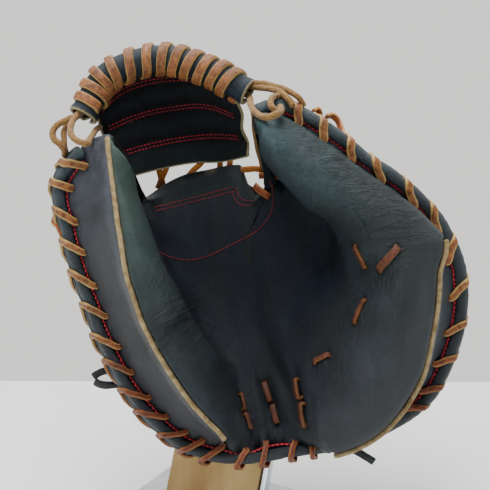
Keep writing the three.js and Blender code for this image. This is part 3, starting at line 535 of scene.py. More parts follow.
def leather(name, roughness, grain, mottle=0.35, crease=0.5, specular=0.5):
    """Worn leather: a pebbled grain, fine creases and uneven colour over the painted tint."""
    material, tree, shader = new_material(name)
    tint = node(tree, "ShaderNodeAttribute", {"attribute_name": TINT}).outputs["Color"]
    broad = noise_node(tree, 38, 5, 0.6).outputs["Fac"]
    small = noise_node(tree, 420, 4, 0.6).outputs["Fac"]
    blotch = noise_node(tree, 120, 5, 0.65).outputs["Fac"]
    uneven = ramp(tree, broad, (0.3, 1 - mottle), (0.72, 1 + mottle))
    patches = ramp(tree, blotch, (0.38, 0.0), (0.62, 1.0))
    hue = mix_colours(tree, patches, (0.72, 0.86, 0.84), (1.12, 1.02, 1.08))
    tint = multiply_colours(tree, tint, hue)
    speckle = ramp(tree, small, (0.32, 1 - mottle), (0.7, 1 + mottle))
    colour = multiply_colours(tree, multiply_colours(tree, tint, uneven), speckle)
    place = node(tree, "ShaderNodeTexCoord").outputs["Object"]
    warped = noise_node(tree, 240, 3, 0.5)
    cells_at = node(tree, "ShaderNodeMix", {"data_type": "VECTOR"}, i0=0.0035)
    tree.links.new(place, cells_at.inputs[4])
    tree.links.new(warped.outputs["Color"], cells_at.inputs[5])
    cells = node(tree, "ShaderNodeTexVoronoi", {"feature": "DISTANCE_TO_EDGE"}, Vector=cells_at.outputs[1],
                 Scale=1150.0).outputs["Distance"]
    pebbles = ramp(tree, cells, (0.0, 0.0), (0.22, 1.0))
    creases = noise_node(tree, 300, 9, 0.7, 0.9).outputs["Fac"]
    lines = ramp(tree, creases, (0.4, 1.0), (0.5, 0.0), (0.6, 1.0))
    low = bump(tree, lines, crease * 0.6, 0.0009)
    fold = node(tree, "ShaderNodeAttribute", {"attribute_name": FOLD}).outputs["Vector"]
    split = node(tree, "ShaderNodeSeparateXYZ", Vector=fold).outputs
    flat = node(tree, "ShaderNodeCombineXYZ", X=split[0], Y=split[1]).outputs[0]
    ridges = node(tree, "ShaderNodeTexNoise", Vector=flat, Scale=1.0, Detail=3.0, Roughness=0.6)
    ridges = ramp(tree, ridges.outputs["Fac"], (0.38, 1.0), (0.5, 0.0), (0.62, 1.0))
    folded = math_node(tree, "MULTIPLY", ridges, split[2])
    low = bump(tree, folded, 0.9, 0.0013, low)
    # Painted shade in the grooves of the wrinkles
    colour = multiply_colours(tree, colour, shaded_by(tree, folded, split[2]))
    normal = bump(tree, pebbles, grain * 0.5, 0.00045, low)
    rough = ramp(tree, small, (0.3, roughness - 0.09), (0.7, roughness + 0.11))
    set_shader(tree, shader, Base_Color=colour, Roughness=rough, Normal=normal, Specular_IOR_Level=specular,
               Sheen_Weight=0.015, Sheen_Roughness=0.5)
    return material


def shaded_by(tree, folded, weight):
    """Painted shade: a little darker in the grooves of the wrinkles."""
    groove = math_node(tree, "SUBTRACT", weight, folded)
    return ramp(tree, groove, (0.0, 1.0), (1.0, 0.6))


def lace_leather(name, face, face_dark, edge, roughness=0.55):
    """Lacing: a dyed grain side with worn streaks, and raw tan edges where the strip was cut."""
    material, tree, shader = new_material(name)
    raw = node(tree, "ShaderNodeAttribute", {"attribute_name": RAW}).outputs["Fac"]
    streaks = noise_node(tree, 260, 7, 0.65, 0.6).outputs["Fac"]
    worn = mix_colours(tree, ramp(tree, streaks, (0.36, 0.0), (0.62, 1.0)), face_dark, face)
    fibres = noise_node(tree, 900, 3, 0.6).outputs["Fac"]
    shade = ramp(tree, fibres, (0.3, 0.72), (0.7, 1.18))
    cut = ramp(tree, raw, (0.35, 0.0), (0.65, 1.0))
    colour = multiply_colours(tree, mix_colours(tree, cut, worn, edge), shade)
    tint = node(tree, "ShaderNodeAttribute", {"attribute_name": TINT}).outputs["Color"]
    colour = multiply_colours(tree, colour, tint)
    cracks = ramp(tree, streaks, (0.42, 1.0), (0.5, 0.0), (0.58, 1.0))
    normal = bump(tree, fibres, 0.35, 0.0004, bump(tree, cracks, 0.3, 0.0005))
    set_shader(tree, shader, Base_Color=colour, Roughness=roughness, Normal=normal, Specular_IOR_Level=0.4)
    return material


def cord_leather(name, light, dark):
    """Fuzzy raw side of a round lace."""
    material, tree, shader = new_material(name)
    fibres = noise_node(tree, 700, 6, 0.7, 0.5).outputs["Fac"]
    colour = mix_colours(tree, ramp(tree, fibres, (0.34, 0.0), (0.64, 1.0)), dark, light)
    normal = bump(tree, fibres, 0.6, 0.0006)
    set_shader(tree, shader, Base_Color=colour, Roughness=0.78, Normal=normal, Specular_IOR_Level=0.25,
               Sheen_Weight=0.15, Sheen_Roughness=0.6)
    return material


def thread_material():
    material, tree, shader = new_material("red_thread")
    fibres = noise_node(tree, 1500, 3, 0.6).outputs["Fac"]
    dark, light = srgb(120, 18, 30), srgb(214, 48, 62)
    colour = mix_colours(tree, ramp(tree, fibres, (0.35, 0.0), (0.65, 1.0)), dark, light)
    tint = node(tree, "ShaderNodeAttribute", {"attribute_name": TINT}).outputs["Color"]
    set_shader(tree, shader, Base_Color=multiply_colours(tree, colour, tint), Roughness=0.6,
               Normal=bump(tree, fibres, 0.4, 0.0003))
    return material


def woven_piping():
    """Woven binding over the piping cord: fine slanting ribs, a little grimy."""
    material, tree, shader = new_material("piping_weave")
    uv = node(tree, "ShaderNodeUVMap").outputs[0]
    turned = node(tree, "ShaderNodeMapping", i0=uv, i2=(0, 0, 0.6)).outputs[0]
    waves = node(tree, "ShaderNodeTexWave", Vector=turned, Scale=0.24, Distortion=0.5, Detail=2.0)
    ribs = waves.outputs["Fac"]
    grime = noise_node(tree, 210, 5, 0.6).outputs["Fac"]
    clean = ramp(tree, grime, (0.35, 0.0), (0.68, 1.0))
    base = mix_colours(tree, clean, srgb(128, 106, 74), srgb(186, 164, 120))
    shade = ramp(tree, ribs, (0.0, 0.8), (1.0, 1.08))
    normal = bump(tree, ribs, 0.5, 0.0003, bump(tree, grime, 0.3, 0.0004))
    set_shader(tree, shader, Base_Color=multiply_colours(tree, base, shade), Roughness=0.8, Normal=normal,
               Specular_IOR_Level=0.2)
    return material


def brushed_metal(name, light, dark, roughness, fine=1.0):
    material, tree, shader = new_material(name)
    lines = noise_node(tree, 60, 5, 0.6, 0.0, (30, 30, 0.6)).outputs["Fac"]
    # Soft lighter and darker streaks running up the metal: painted reflection
    painted_reflection = noise_node(tree, 22, 3, 0.5, 0.0, (1.6, 1.6, 0.3)).outputs["Fac"]
    colour = mix_colours(tree, ramp(tree, painted_reflection, (0.35, 0.0), (0.7, 1.0)), dark, light)
    normal = bump(tree, lines, 0.12 * fine, 0.0002)
    set_shader(tree, shader, Base_Color=colour, Metallic=1.0, Normal=normal,
               Roughness=ramp(tree, lines, (0.3, roughness - 0.07), (0.7, roughness + 0.08)))
    return material


MATERIALS = {
    "palm": leather("palm_leather_finish", 0.5, 1.0, specular=0.36),
    "panel": leather("slate_leather_finish", 0.43, 0.7, 0.2, 0.4),
    "web": leather("web_leather_finish", 0.52, 0.8, 0.3, 0.45, 0.3),
    "roll": leather("rolled_edge_finish", 0.42, 0.6, 0.35, 0.9),
    "back": leather("back_leather_finish", 0.48, 0.9, 0.25, specular=0.36),
    "raw": cord_leather("raw_edge_finish", srgb(168, 154, 116), srgb(98, 88, 62)),
    "lace": lace_leather("brown_lace_finish", srgb(176, 112, 62), srgb(102, 58, 32), srgb(200, 162, 98)),
    "cord": cord_leather("khaki_lace_finish", srgb(162, 122, 66), srgb(88, 60, 28)),
    "amber": cord_leather("amber_lace_finish", srgb(188, 112, 26), srgb(112, 58, 14)),
    "dark_lace": leather("dark_lace_finish", 0.5, 0.6),
    "thread": thread_material(),
    "piping": woven_piping(),
    "brushed": brushed_metal("brushed_panel_finish", srgb(172, 142, 95), srgb(138, 108, 68), 0.34),
    "chrome": brushed_metal("pale_metal_finish", srgb(226, 228, 230), srgb(200, 203, 206), 0.16, 0.4),
}


# Meshes
def new_piece(name, points, faces, material, tint=None, raw=None, uv=None, world=False,
              edge=None, fans=None, folds=None):
    """One smooth mesh from points in the mitt's frame.

    edge is a second material with the mask of its quads, fans are extra triangles.
    """
    points = np.asarray(points, float).reshape(-1, 3)
    faces = np.asarray(faces, int)
    fans = np.zeros((0, 3), int) if fans is None else np.asarray(fans, int)
    loops = np.concatenate([faces.ravel(), fans.ravel()])
    used, loops = np.unique(loops, return_inverse=True)
    points = points[used]
    starts = np.concatenate([np.arange(len(faces)) * 4, len(faces) * 4 + np.arange(len(fans)) * 3])
    mesh = bpy.data.meshes.new(name)
    mesh.vertices.add(len(points))
    mesh.vertices.foreach_set("co", (points if world else leant(points)).ravel())
    mesh.loops.add(len(loops))
    mesh.loops.foreach_set("vertex_index", loops)
    mesh.polygons.add(len(starts))
    mesh.polygons.foreach_set("loop_start", starts)
    mesh.polygons.foreach_set("use_smooth", np.ones(len(starts), bool))
    mesh.materials.append(MATERIALS[material])
    if edge:
        mesh.materials.append(MATERIALS[edge[0]])
        mask = np.concatenate([edge[1], np.zeros(len(fans))]).astype(int)
        mesh.polygons.foreach_set("material_index", mask)
    if uv is not None:
        layer = mesh.uv_layers.new(name="UVMap")
        layer.data.foreach_set("uv", np.asarray(uv, float)[used][loops].ravel())
    mesh.update(calc_edges=True)
    colours = np.ones((len(points), 4))
    if tint is not None:
        tint = np.asarray(tint, float)
        colours[:, :3] = tint if tint.ndim == 1 else tint.reshape(-1, 3)[used]
    mesh.color_attributes.new(TINT, "FLOAT_COLOR", "POINT").data.foreach_set("color", colours.ravel())
    if raw is not None:
        values = np.asarray(raw, float).ravel()[used].astype(np.float32)
        mesh.attributes.new(RAW, "FLOAT", "POINT").data.foreach_set("value", values)
    if folds is not None:
        values = np.asarray(folds).reshape(-1, 3)[used].astype(np.float32)
        mesh.attributes.new(FOLD, "FLOAT_VECTOR", "POINT").data.foreach_set("vector", values.ravel())
    mesh.validate()
    piece = bpy.data.objects.new(name, mesh)
    bpy.context.scene.collection.objects.link(piece)
    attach(piece, "root")
    return piece


def ring_faces(rows, count, closed=True):
    """Quads between rows of points, each row closed round or left open."""
    across = count if closed else count - 1
    i, j = np.meshgrid(np.arange(rows - 1), np.arange(across), indexing="ij")
    k = (j + 1) % count
    quads = np.stack([i * count + j, i * count + k, (i + 1) * count + k, (i + 1) * count + j], axis=-1)
    return quads.reshape(-1, 4)


def capped(rings, flip=False):
    """Points and quads of a tube of rings with both ends closed by smaller and smaller rings."""
    rings = np.asarray(rings, float)

    def shrunk(ring, ahead):
        centre = ring.mean(axis=0)
        outwards = centre - ahead.mean(axis=0)
        outwards = unit(outwards) * np.linalg.norm(ring - centre, axis=1).min() * 0.5
        return [centre + (ring - centre) * scale + outwards * push
                for scale, push in ((0.8, 0.6), (0.4, 0.95), (0.02, 1.0))]

    start = shrunk(rings[0], rings[1])[::-1]
    end = shrunk(rings[-1], rings[-2])
    rows = np.concatenate([start, rings, end])
    faces = ring_faces(len(rows), rings.shape[1])
    return rows.reshape(-1, 3), faces[:, ::-1] if flip else faces


def joined(parts):
    """Several sets of points and faces as one."""
    points, faces, start = [], [], 0
    for part_points, part_faces in parts:
        points.append(part_points)
        faces.append(part_faces + start)
        start += len(part_points)
    return np.concatenate(points), np.concatenate(faces)


def spline(points, per_span=8):
    """A centripetal curve through given points."""
    points = np.asarray(points, float)
    ends = [2 * points[0] - points[1], 2 * points[-1] - points[-2]]
    p = np.concatenate([ends[:1], points, ends[1:]])
    out = []
    for k in range(1, len(p) - 2):
        a, b, c, d = p[k - 1:k + 3]
        knots = np.cumsum([0] + [max(np.linalg.norm(v), 1e-6) ** 0.5 for v in (b - a, c - b, d - c)])
        t = np.linspace(knots[1], knots[2], per_span, endpoint=False)[:, None]
        first = [((knots[i + 1] - t) * q + (t - knots[i]) * r) / (knots[i + 1] - knots[i])
                 for i, (q, r) in enumerate(((a, b), (b, c), (c, d)))]
        second = [((knots[i + 2] - t) * first[i] + (t - knots[i]) * first[i + 1]) / (knots[i + 2] - knots[i])
                  for i in range(2)]
        out.append(((knots[2] - t) * second[0] + (t - knots[1]) * second[1]) / (knots[2] - knots[1]))
    return np.concatenate([*out, points[-1:]])


def even(points, step):
    """The same path with points an even step apart."""
    run = run_along(points)
    count = max(2, int(round(run[-1] / step)) + 1)
    at = np.linspace(0, run[-1], count)
    return read_off(at, run, points)


def frames(path, side):
    """Directions along a path, across it (near the given side) and out of its flat face."""
    along = unit(np.gradient(path, axis=0))
    across = unit(side - along * np.sum(side * along, axis=1, keepdims=True))
    return along, across, unit(np.cross(across, along))


def carried_frames(path, start_side):
    """As frames, with the side carried along the path without twist."""
    along = unit(np.gradient(path, axis=0))
    sides = [np.asarray(start_side, float)]
    for direction in along:
        side = sides[-1] - direction * (sides[-1] @ direction)
        sides.append(side / np.linalg.norm(side))
    across = np.array(sides[1:])
    return along, across, unit(np.cross(across, along))


def cord_rings(path, radius, sides=14, roughness=0.07, seed=0.0):
    _, across, out = carried_frames(path, (0.3, 0.5, 0.8))
    turns = np.linspace(0, 2 * np.pi, sides, endpoint=False)
    shape = across[:, None] * np.cos(turns)[None, :, None] + out[:, None] * np.sin(turns)[None, :, None]
    radii = np.broadcast_to(radius, len(path))[:, None]
    rough = 1 + roughness * noise(path[:, None] + shape * radii[..., None], 3.5, seed)
    return path[:, None] + shape * (radii * rough)[..., None]


RIBBON_PROFILE = [(-1, -0.45), (-1, 0.45), (-0.9, 0.9), (-0.55, 1.05), (0, 1.12), (0.55, 1.05), (0.9, 0.9),
                  (1, 0.45), (1, -0.45), (0.9, -0.95), (0, -1), (-0.9, -0.95)]


def ribbon(path, side, width, thick, seed=0.0):
    """A flat strip of lacing along a path, a little crowned and uneven; returns points, faces, edge share."""
    _, across, out = frames(path, side)
    profile = np.array(RIBBON_PROFILE)
    wobble = 1 + 0.07 * noise(path, 9, seed)[:, None, None]
    half = np.broadcast_to(width, len(path))[:, None, None] / 2
    shape = across[:, None] * profile[None, :, :1] * half * wobble
    shape = shape + out[:, None] * (profile[:, 1] * thick / 2)[None, :, None]
    rings = path[:, None] + shape
    rings = rings + unit(shape) * 0.16 * noise(rings, 2.6, seed + 3)[..., None]
    points, faces = capped(rings)
    edge = np.array([1, 1, 0.6, 0, 0, 0, 0.6, 1, 1, 0.7, 0, 0.7])
    caps = 6
    return points, faces, np.tile(edge, len(rings) + caps)


def stitches(path, normals, step=3.3, length=2.3, radius=0.42, sunk=0.1):
    """Short thread stitches along a path on a surface: points and faces of all of them."""
    run = run_along(path)
    parts = []
    for start in np.arange(0.4, run[-1] - length, step):
        at = start + np.linspace(0, length, 5)
        centre = read_off(at, run, path)
        up = unit(read_off(at, run, normals))
        arch = np.array([-0.5, 0.6, 1, 0.6, -0.5])[:, None]
        centre = centre + up * (radius * arch - sunk)
        parts.append(capped(small_rings(centre, up, radius)))
    return joined(parts)


def small_rings(centre, up, radius):
    along = unit(np.gradient(centre, axis=0))
    across = unit(np.cross(along, up))
    turns = np.linspace(0, 2 * np.pi, 6, endpoint=False)
    shape = across[:, None] * np.cos(turns)[None, :, None] + up[:, None] * np.sin(turns)[None, :, None]
    return centre[:, None] + shape * radius


EDGE_STEPS = 3


def grid_normals(grid):
    return unit(np.cross(np.gradient(grid, axis=0), np.gradient(grid, axis=1)))


def padded_grid(grid, reach):
    """The grid with a few more rows past each border, at the places of a rounded edge."""
    turns = np.radians(90 * np.arange(1, EDGE_STEPS + 1) / EDGE_STEPS)
    for axis in (0, 1):
        g = np.moveaxis(grid, axis, 0)
        low, high = unit(g[0] - g[1]), unit(g[-1] - g[-2])
        before = [g[0] + low * reach * math.sin(turn) for turn in turns[::-1]]
        after = [g[-1] + high * reach * math.sin(turn) for turn in turns]
        grid = np.moveaxis(np.concatenate([before, g, after]), 0, axis)
    return grid


def spread(values):
    """Values of a grid, such as a tint, on both sides of its sheet."""
    pad = [(EDGE_STEPS, EDGE_STEPS)] * 2 + [(0, 0)] * (np.ndim(values) - 2)
    wide = np.pad(values, pad, mode="edge")
    flat = wide.reshape(-1, *wide.shape[2:])
    return np.concatenate([flat, flat])


def sheet(grid, thick, lower=None):
    """A closed sheet about a grid, or between it and a lower one, with rounded edges.

    Returns points, quads and the mask of the edge quads.
    """
    n, m = grid.shape[0] + 2 * EDGE_STEPS, grid.shape[1] + 2 * EDGE_STEPS
    fade = np.cos(np.radians(90 * np.arange(EDGE_STEPS, 0, -1) / EDGE_STEPS))
    heights = [np.concatenate([fade, np.ones(k - 2 * EDGE_STEPS), fade[::-1]]) for k in (n, m)]
    height = (heights[0][:, None] * heights[1][None, :])[..., None]
    if lower is None:
        normal = np.pad(grid_normals(grid), [(EDGE_STEPS, EDGE_STEPS)] * 2 + [(0, 0)], mode="edge")
        wide = padded_grid(grid, thick / 2)
        top, bottom = wide + normal * height * thick / 2, wide - normal * height * thick / 2
    else:
        upper_wide, lower_wide = padded_grid(grid, thick / 2), padded_grid(lower, thick / 2)
        middle = (upper_wide + lower_wide) / 2
        top, bottom = middle + (upper_wide - middle) * height, middle + (lower_wide - middle) * height
    index = np.arange(n * m).reshape(n, m)
    below = index + n * m
    border = np.ones((n, m), bool)
    border[1:-1, 1:-1] = False
    below = np.where(border, index, below)

    def quads(k):
        return np.stack([k[:-1, :-1], k[:-1, 1:], k[1:, 1:], k[1:, :-1]], axis=-1).reshape(-1, 4)

    edge = np.zeros((n - 1, m - 1), bool)
    edge[:EDGE_STEPS] = edge[-EDGE_STEPS:] = True
    edge[:, :EDGE_STEPS] = edge[:, -EDGE_STEPS:] = True
    points = np.concatenate([top.reshape(-1, 3), bottom.reshape(-1, 3)])
    faces = np.concatenate([quads(index), quads(below)[:, ::-1]])
    return points, faces, np.tile(edge.ravel(), 2)


# Places of the lacing round the rim, as hole and outer angles
RIM_WRAPS = {
    "thumb": [(144, 147), (152, 153), (161.5, 160), (171.5, 169), (184.5, 179), (197.7, 191), (211.7, 203),
              (223.3, 213.4), (234.9, 225), (244.1, 234), (252.4, 244.5), (258.8, 252.5)],
    "heel": [(265.7, 259.5), (273.8, 270.5), (280.5, 278), (289.5, 286.8), (295, 293)],
    "fingers": [(321.1, 325.6), (327.6, 331.8), (335.8, 339.8), (344.3, 348.5), (353.8, 358.8),
                (363.4, 370), (371, 380.4), (381, 389.3), (392.8, 400.6), (404.5, 410.2), (417, 420.6),
                (427.3, 430)],
}
PALM_STITCHES = [
    ((272.9, 83.4), (274.2, 94.2)), ((274.6, 97.6), (276, 110.5)), ((284.9, 78.9), (285.4, 91.6)),
    ((285.9, 95.2), (285.7, 113)), ((300, 84.1), (297.3, 97.2)), ((297.1, 100.8), (294.4, 117.5)),
    ((312.6, 82.7), (320, 85.9)), ((349.5, 91.9), (338.6, 90.2)), ((374, 86.6), (363.5, 91.9)),
    ((362.4, 100.9), (370.3, 116.4)),
]


def rim_hole(angle):
    return lift(angle, t_after(angle, HOLE_INSET), 0)


RIM_HOLES = np.array([rim_hole(hole) for wraps in RIM_WRAPS.values() for hole, _ in wraps])
STITCH_HOLES = np.array([front_at(angle, seen_at(angle, R)) for pair in PALM_STITCHES for angle, R in pair])
HOLES = np.concatenate([RIM_HOLES, STITCH_HOLES])


def hole_distance(points):
    flat = points.reshape(-1, 3)
    near = np.full(len(flat), 1e3)
    for hole in HOLES:
        near = np.minimum(near, np.linalg.norm(flat - hole, axis=1))
    return near.reshape(points.shape[:-1])


# Wrinkled places as (across, up, radius, turn of the wrinkles, wavelength, height), as the viewer sees them
WRINKLES = [
    (-52, -60, 22, 38, 1.7, 1.0), (-40, -44, 16, 30, 1.5, 0.8), (-60, -20, 14, 60, 1.6, 0.5),
    (34, 84, 13, -8, 1.5, 0.8), (50, 72, 13, -10, 1.5, 0.8), (66, 58, 15, -6, 1.5, 1.0),
    (82, 44, 17, -2, 1.6, 1.0), (101, 27, 19, 2, 1.6, 1.0), (112, 4, 22, 4, 1.7, 0.9),
    (92, -22, 16, 84, 1.6, 0.8), (70, 10, 18, 60, 1.7, 0.5), (78, -50, 22, 70, 1.7, 0.5),
    (-104, 24, 16, 60, 1.6, 0.5), (-96, 62, 14, 20, 1.6, 0.4), (60, -90, 24, 100, 1.8, 0.5),
    (8, -128, 20, 80, 1.8, 0.6), (40, -118, 18, 84, 1.8, 0.6),
]


def fold_lines(points):
    """For each point its place along and over the nearest wrinkles, and how strong they are there."""
    across, up = across_up(points)
    found = np.zeros((len(points), 3))
    for k, (centre_x, centre_z, radius, turn, wavelength, strength) in enumerate(WRINKLES):
        dx, dz = across - centre_x, up - centre_z
        c, s = math.cos(math.radians(turn)), math.sin(math.radians(turn))
        along, over = dx * c + dz * s, -dx * s + dz * c
        weight = strength * bell(np.hypot(dx, dz), radius)
        bent = over + 1.2 * noise(points, 14, 5)
        here = np.stack([along / 15, bent / wavelength + 9 * k, weight], axis=1)
        found = np.where((weight > found[:, 2])[:, None], here, found)
    found[:, 2] = np.clip(found[:, 2] * 1.15 - 0.15, 0, 1)
    return found


def wrinkles(points):
    flat = fold_lines(points.reshape(-1, 3))
    lines = noise(np.stack([flat[:, 0] * 1.3, flat[:, 1] * 0.55, 0 * flat[:, 0]], axis=1), 1.0, 3)
    return (0.5 * (0.45 - np.abs(lines) * 2) * flat[:, 2]).reshape(points.shape[:-1])


def pocket_folds(points, t):
    """Long soft folds that run down the pocket to the lacing at the heel."""
    across, up = across_up(points)
    deep = smoothstep(3.9, 5.0, t)
    swing = across + 6 * np.sin((up + 40) / 55)
    folds = 1.5 * noise(np.stack([swing / 13, up / 75, 0 * up], axis=-1), 1.0, 2.5)
    folds = folds + 0.35 * noise(np.stack([swing / 5, up / 40, 0 * up], axis=-1), 1.0, 8.5)
    low = smoothstep(-70, -105, up) * smoothstep(-60, -20, across) * smoothstep(80, 45, across)
    grooves = 0
    for top, bottom in (((-1, -104), (5, -134)), ((13, -97), (24, -131)), ((35, -94), (42, -129))):
        line = lerp(top[0], bottom[0], (up - top[1]) / (bottom[1] - top[1]))
        grooves = grooves - 2.2 * bell(across - line, 4.0) * low
        grooves = grooves + 1.8 * bell(across - line - 9.5, 4.0) * low
    corner = across - lerp(45, 51, (up + 100) / -46)
    fold = (2.2 * bell(corner - 8, 6) - 3.2 * bell(corner, 2.8)) * smoothstep(-98, -116, up)
    grooves = grooves + fold
    return folds * deep + grooves * smoothstep(2.5, 3.5, t)


def relief(grid, normals, t):
    """Moves the leather in and out along its normals: unevenness, folds, and dimples at the holes."""
    near = hole_distance(grid)
    height = 0.5 * noise(grid, 24) + 0.22 * noise(grid, 9, 4)
    height = height - 1.5 * bell(near, 2.9) - 0.5 * bell(near, 7.5)
    height = height + wrinkles(grid) + pocket_folds(grid, t)
    return grid + normals * height[..., None]


def hem(angle, t):
    """Pleats that run in from the lacing along the finger side."""
    inside = smoothstep(366, 374, angle) * smoothstep(440, 430, angle)
    waves = noise(np.stack([angle * 0.95, t * 1.3, 0 * t], axis=-1), 1.0, 1.5)
    return 0.45 * (0.45 - np.abs(waves) * 2) * inside * smoothstep(0.12, 0.4, t) * smoothstep(1.9, 0.5, t)


def in_panel(angle):
    inside = 0
    for low, high in (THUMB_PANEL, FINGER_PANEL):
        here = smoothstep(low - 1.6, low - 0.8, angle) * (1 - smoothstep(high + 0.5, high + 1.2, angle))
        inside = np.maximum(inside, here)
    return inside


def piping_speed(angles):
    return np.linalg.norm(section_tangents(controls(angles))[:, 2], axis=1)


def blended(stops, value):
    """Colour between named stops of (value, colour)."""
    places = [place for place, _ in stops]
    return np.stack([np.interp(value, places, [colour[k] for _, colour in stops]) for k in range(3)], axis=-1)


def mix(a, b, share):
    return a + (b - a) * np.asarray(share)[..., None]


def palm_tint(points, angle, t):
    across, up = across_up(points)
    streak = noise(points * (1, 1, 0.22), 12, 9) + 0.5 * noise(points * (1, 1, 0.3), 4, 3)
    pocket = mix(srgb(6, 18, 35), srgb(17, 22, 25), smoothstep(-0.25, 0.45, streak))
    pocket = mix(pocket, srgb(14, 30, 34), smoothstep(10, 50, up))
    # The pads run lighter towards the top: partly the leather's own tone, partly painted light from above
    thumb = blended([(-150, srgb(36, 42, 48)), (-90, srgb(30, 42, 46)), (-30, srgb(36, 54, 52)),
                     (30, srgb(44, 64, 58)), (80, srgb(58, 80, 72))], up)
    finger = blended([(-140, srgb(40, 43, 49)), (-60, srgb(35, 42, 47)), (10, srgb(34, 46, 47)),
                      (90, srgb(49, 66, 69))], up)
    heel = srgb(26, 32, 40) + 0 * points
    top = srgb(16, 28, 32) + 0 * points
    turned = np.where(angle > PAD_END, angle - 360, angle)
    side = mix(thumb, heel, smoothstep(258, 270, turned))
    side = mix(side, finger, smoothstep(291, 301, turned))
    side = mix(top, side, smoothstep(WEB_END - 0.6, PAD_START, turned))
    colour = mix(side, pocket, smoothstep(3.2, 4.7, t))
    colour = mix(colour, pocket, 0.6 * smoothstep(-20, -90, up) * smoothstep(95, 40, across)
                 * smoothstep(2.9, 3.4, t) * smoothstep(285, 300, turned))
    colour = colour * (1 - 0.35 * smoothstep(-30, -100, up) * smoothstep(3.0, 3.8, t))[..., None]
    # Painted highlight along the ridge of the finger pad
    ridge = bell(t - 3.0, 0.55) * smoothstep(385, 410, angle) * (angle < PAD_END)
    colour = colour * (1 + 0.5 * ridge)[..., None]
    cut = in_web(turned) * smoothstep(0.34, 0.16, t)
    colour = mix(colour, srgb(128, 112, 78), 0.8 * cut)
    scuff = bell(np.hypot((across + 41) / 1.6, up - 41.5), 1.6) * smoothstep(4.0, 3.0, t)
    colour = mix(colour, srgb(150, 140, 105), 0.7 * scuff)
    # Darker round the holes: painted shade in their dimples
    return colour * (1 - 0.6 * bell(hole_distance(points), 3.2))[..., None]


def smoothed_floor(grid, t, rounds=60):
    """Evens out the fold where the walls meet the pocket's floor."""
    share = (smoothstep(4.0, 4.7, t) * smoothstep(6.95, 6.3, t) * 0.5)[..., None]
    for _ in range(rounds):
        middle = (np.roll(grid, 1, 0) + np.roll(grid, -1, 0)) / 4
        middle[:, 1:-1] += (grid[:, 2:] + grid[:, :-2]) / 4
        middle[:, 0] = middle[:, -1] = 0
        grid = np.where(share > 0, grid + (middle - grid) * share, grid)
    return grid


# Creases to even out, as two ends in the viewer's (across, up) and a reach
CREASES = (((-66, 26), (-28, -3), 11), ((14, 38), (2, 2), 8))


def calmed(grid, angles, t):
    """Evens out the creases under the palm's top part, with a plane fitted round each point."""
    across, up = across_up(grid)
    web = in_web(np.where(angles > PAD_END + 1, angles - 360, angles))[:, None] | np.zeros(t.shape, bool)
    share, near = 0 * t, np.zeros(t.shape, bool)
    for (x0, z0), (x1, z1), reach in CREASES:
        dx, dz = x1 - x0, z1 - z0
        f = np.clip(((across - x0) * dx + (up - z0) * dz) / (dx * dx + dz * dz), 0, 1)
        distance = np.hypot(across - x0 - f * dx, up - z0 - f * dz)
        share = np.maximum(share, bell(distance, reach))
        near = near | (distance < 3.2 * reach)
    share = np.clip(share * 1.3, 0, 1) * np.where(web, smoothstep(0.5, 2.0, t), smoothstep(4.2, 5.0, t))
    sample = near & (web & (t > 0.3) | (t > 4.2))
    area = np.linalg.norm(np.cross(np.gradient(grid, axis=0), np.gradient(grid, axis=1)), axis=-1)[sample]
    known, wanted = grid[sample], grid[share > 0.02]
    depths = []
    for part in np.array_split(wanted, max(1, len(wanted) // 400)):
        x = known[:, 0] - part[:, :1]
        z = known[:, 2] - part[:, 2:]
        weight = np.exp(-(x * x + z * z) / (2 * 6.5 ** 2)) * area
        terms = (np.ones_like(x), x, z)
        square = np.array([[np.sum(weight * a * b, axis=1) for a in terms] for b in terms]).transpose(2, 0, 1)
        square = square + np.eye(3) * 1e-6
        right = np.array([(weight * a) @ known[:, 1] for a in terms]).T
        depths.append(np.linalg.solve(square, right[..., None])[:, 0, 0])
    moved = grid.copy()
    moved[share > 0.02, 1] = lerp(wanted[:, 1], np.concatenate(depths), share[share > 0.02])
    return moved


# Steps of the palm's mesh before and after the piping, and how near the pocket's centre they run
PANEL_STEPS, POCKET_STEPS = 26, 84
LAST_T = 6.985


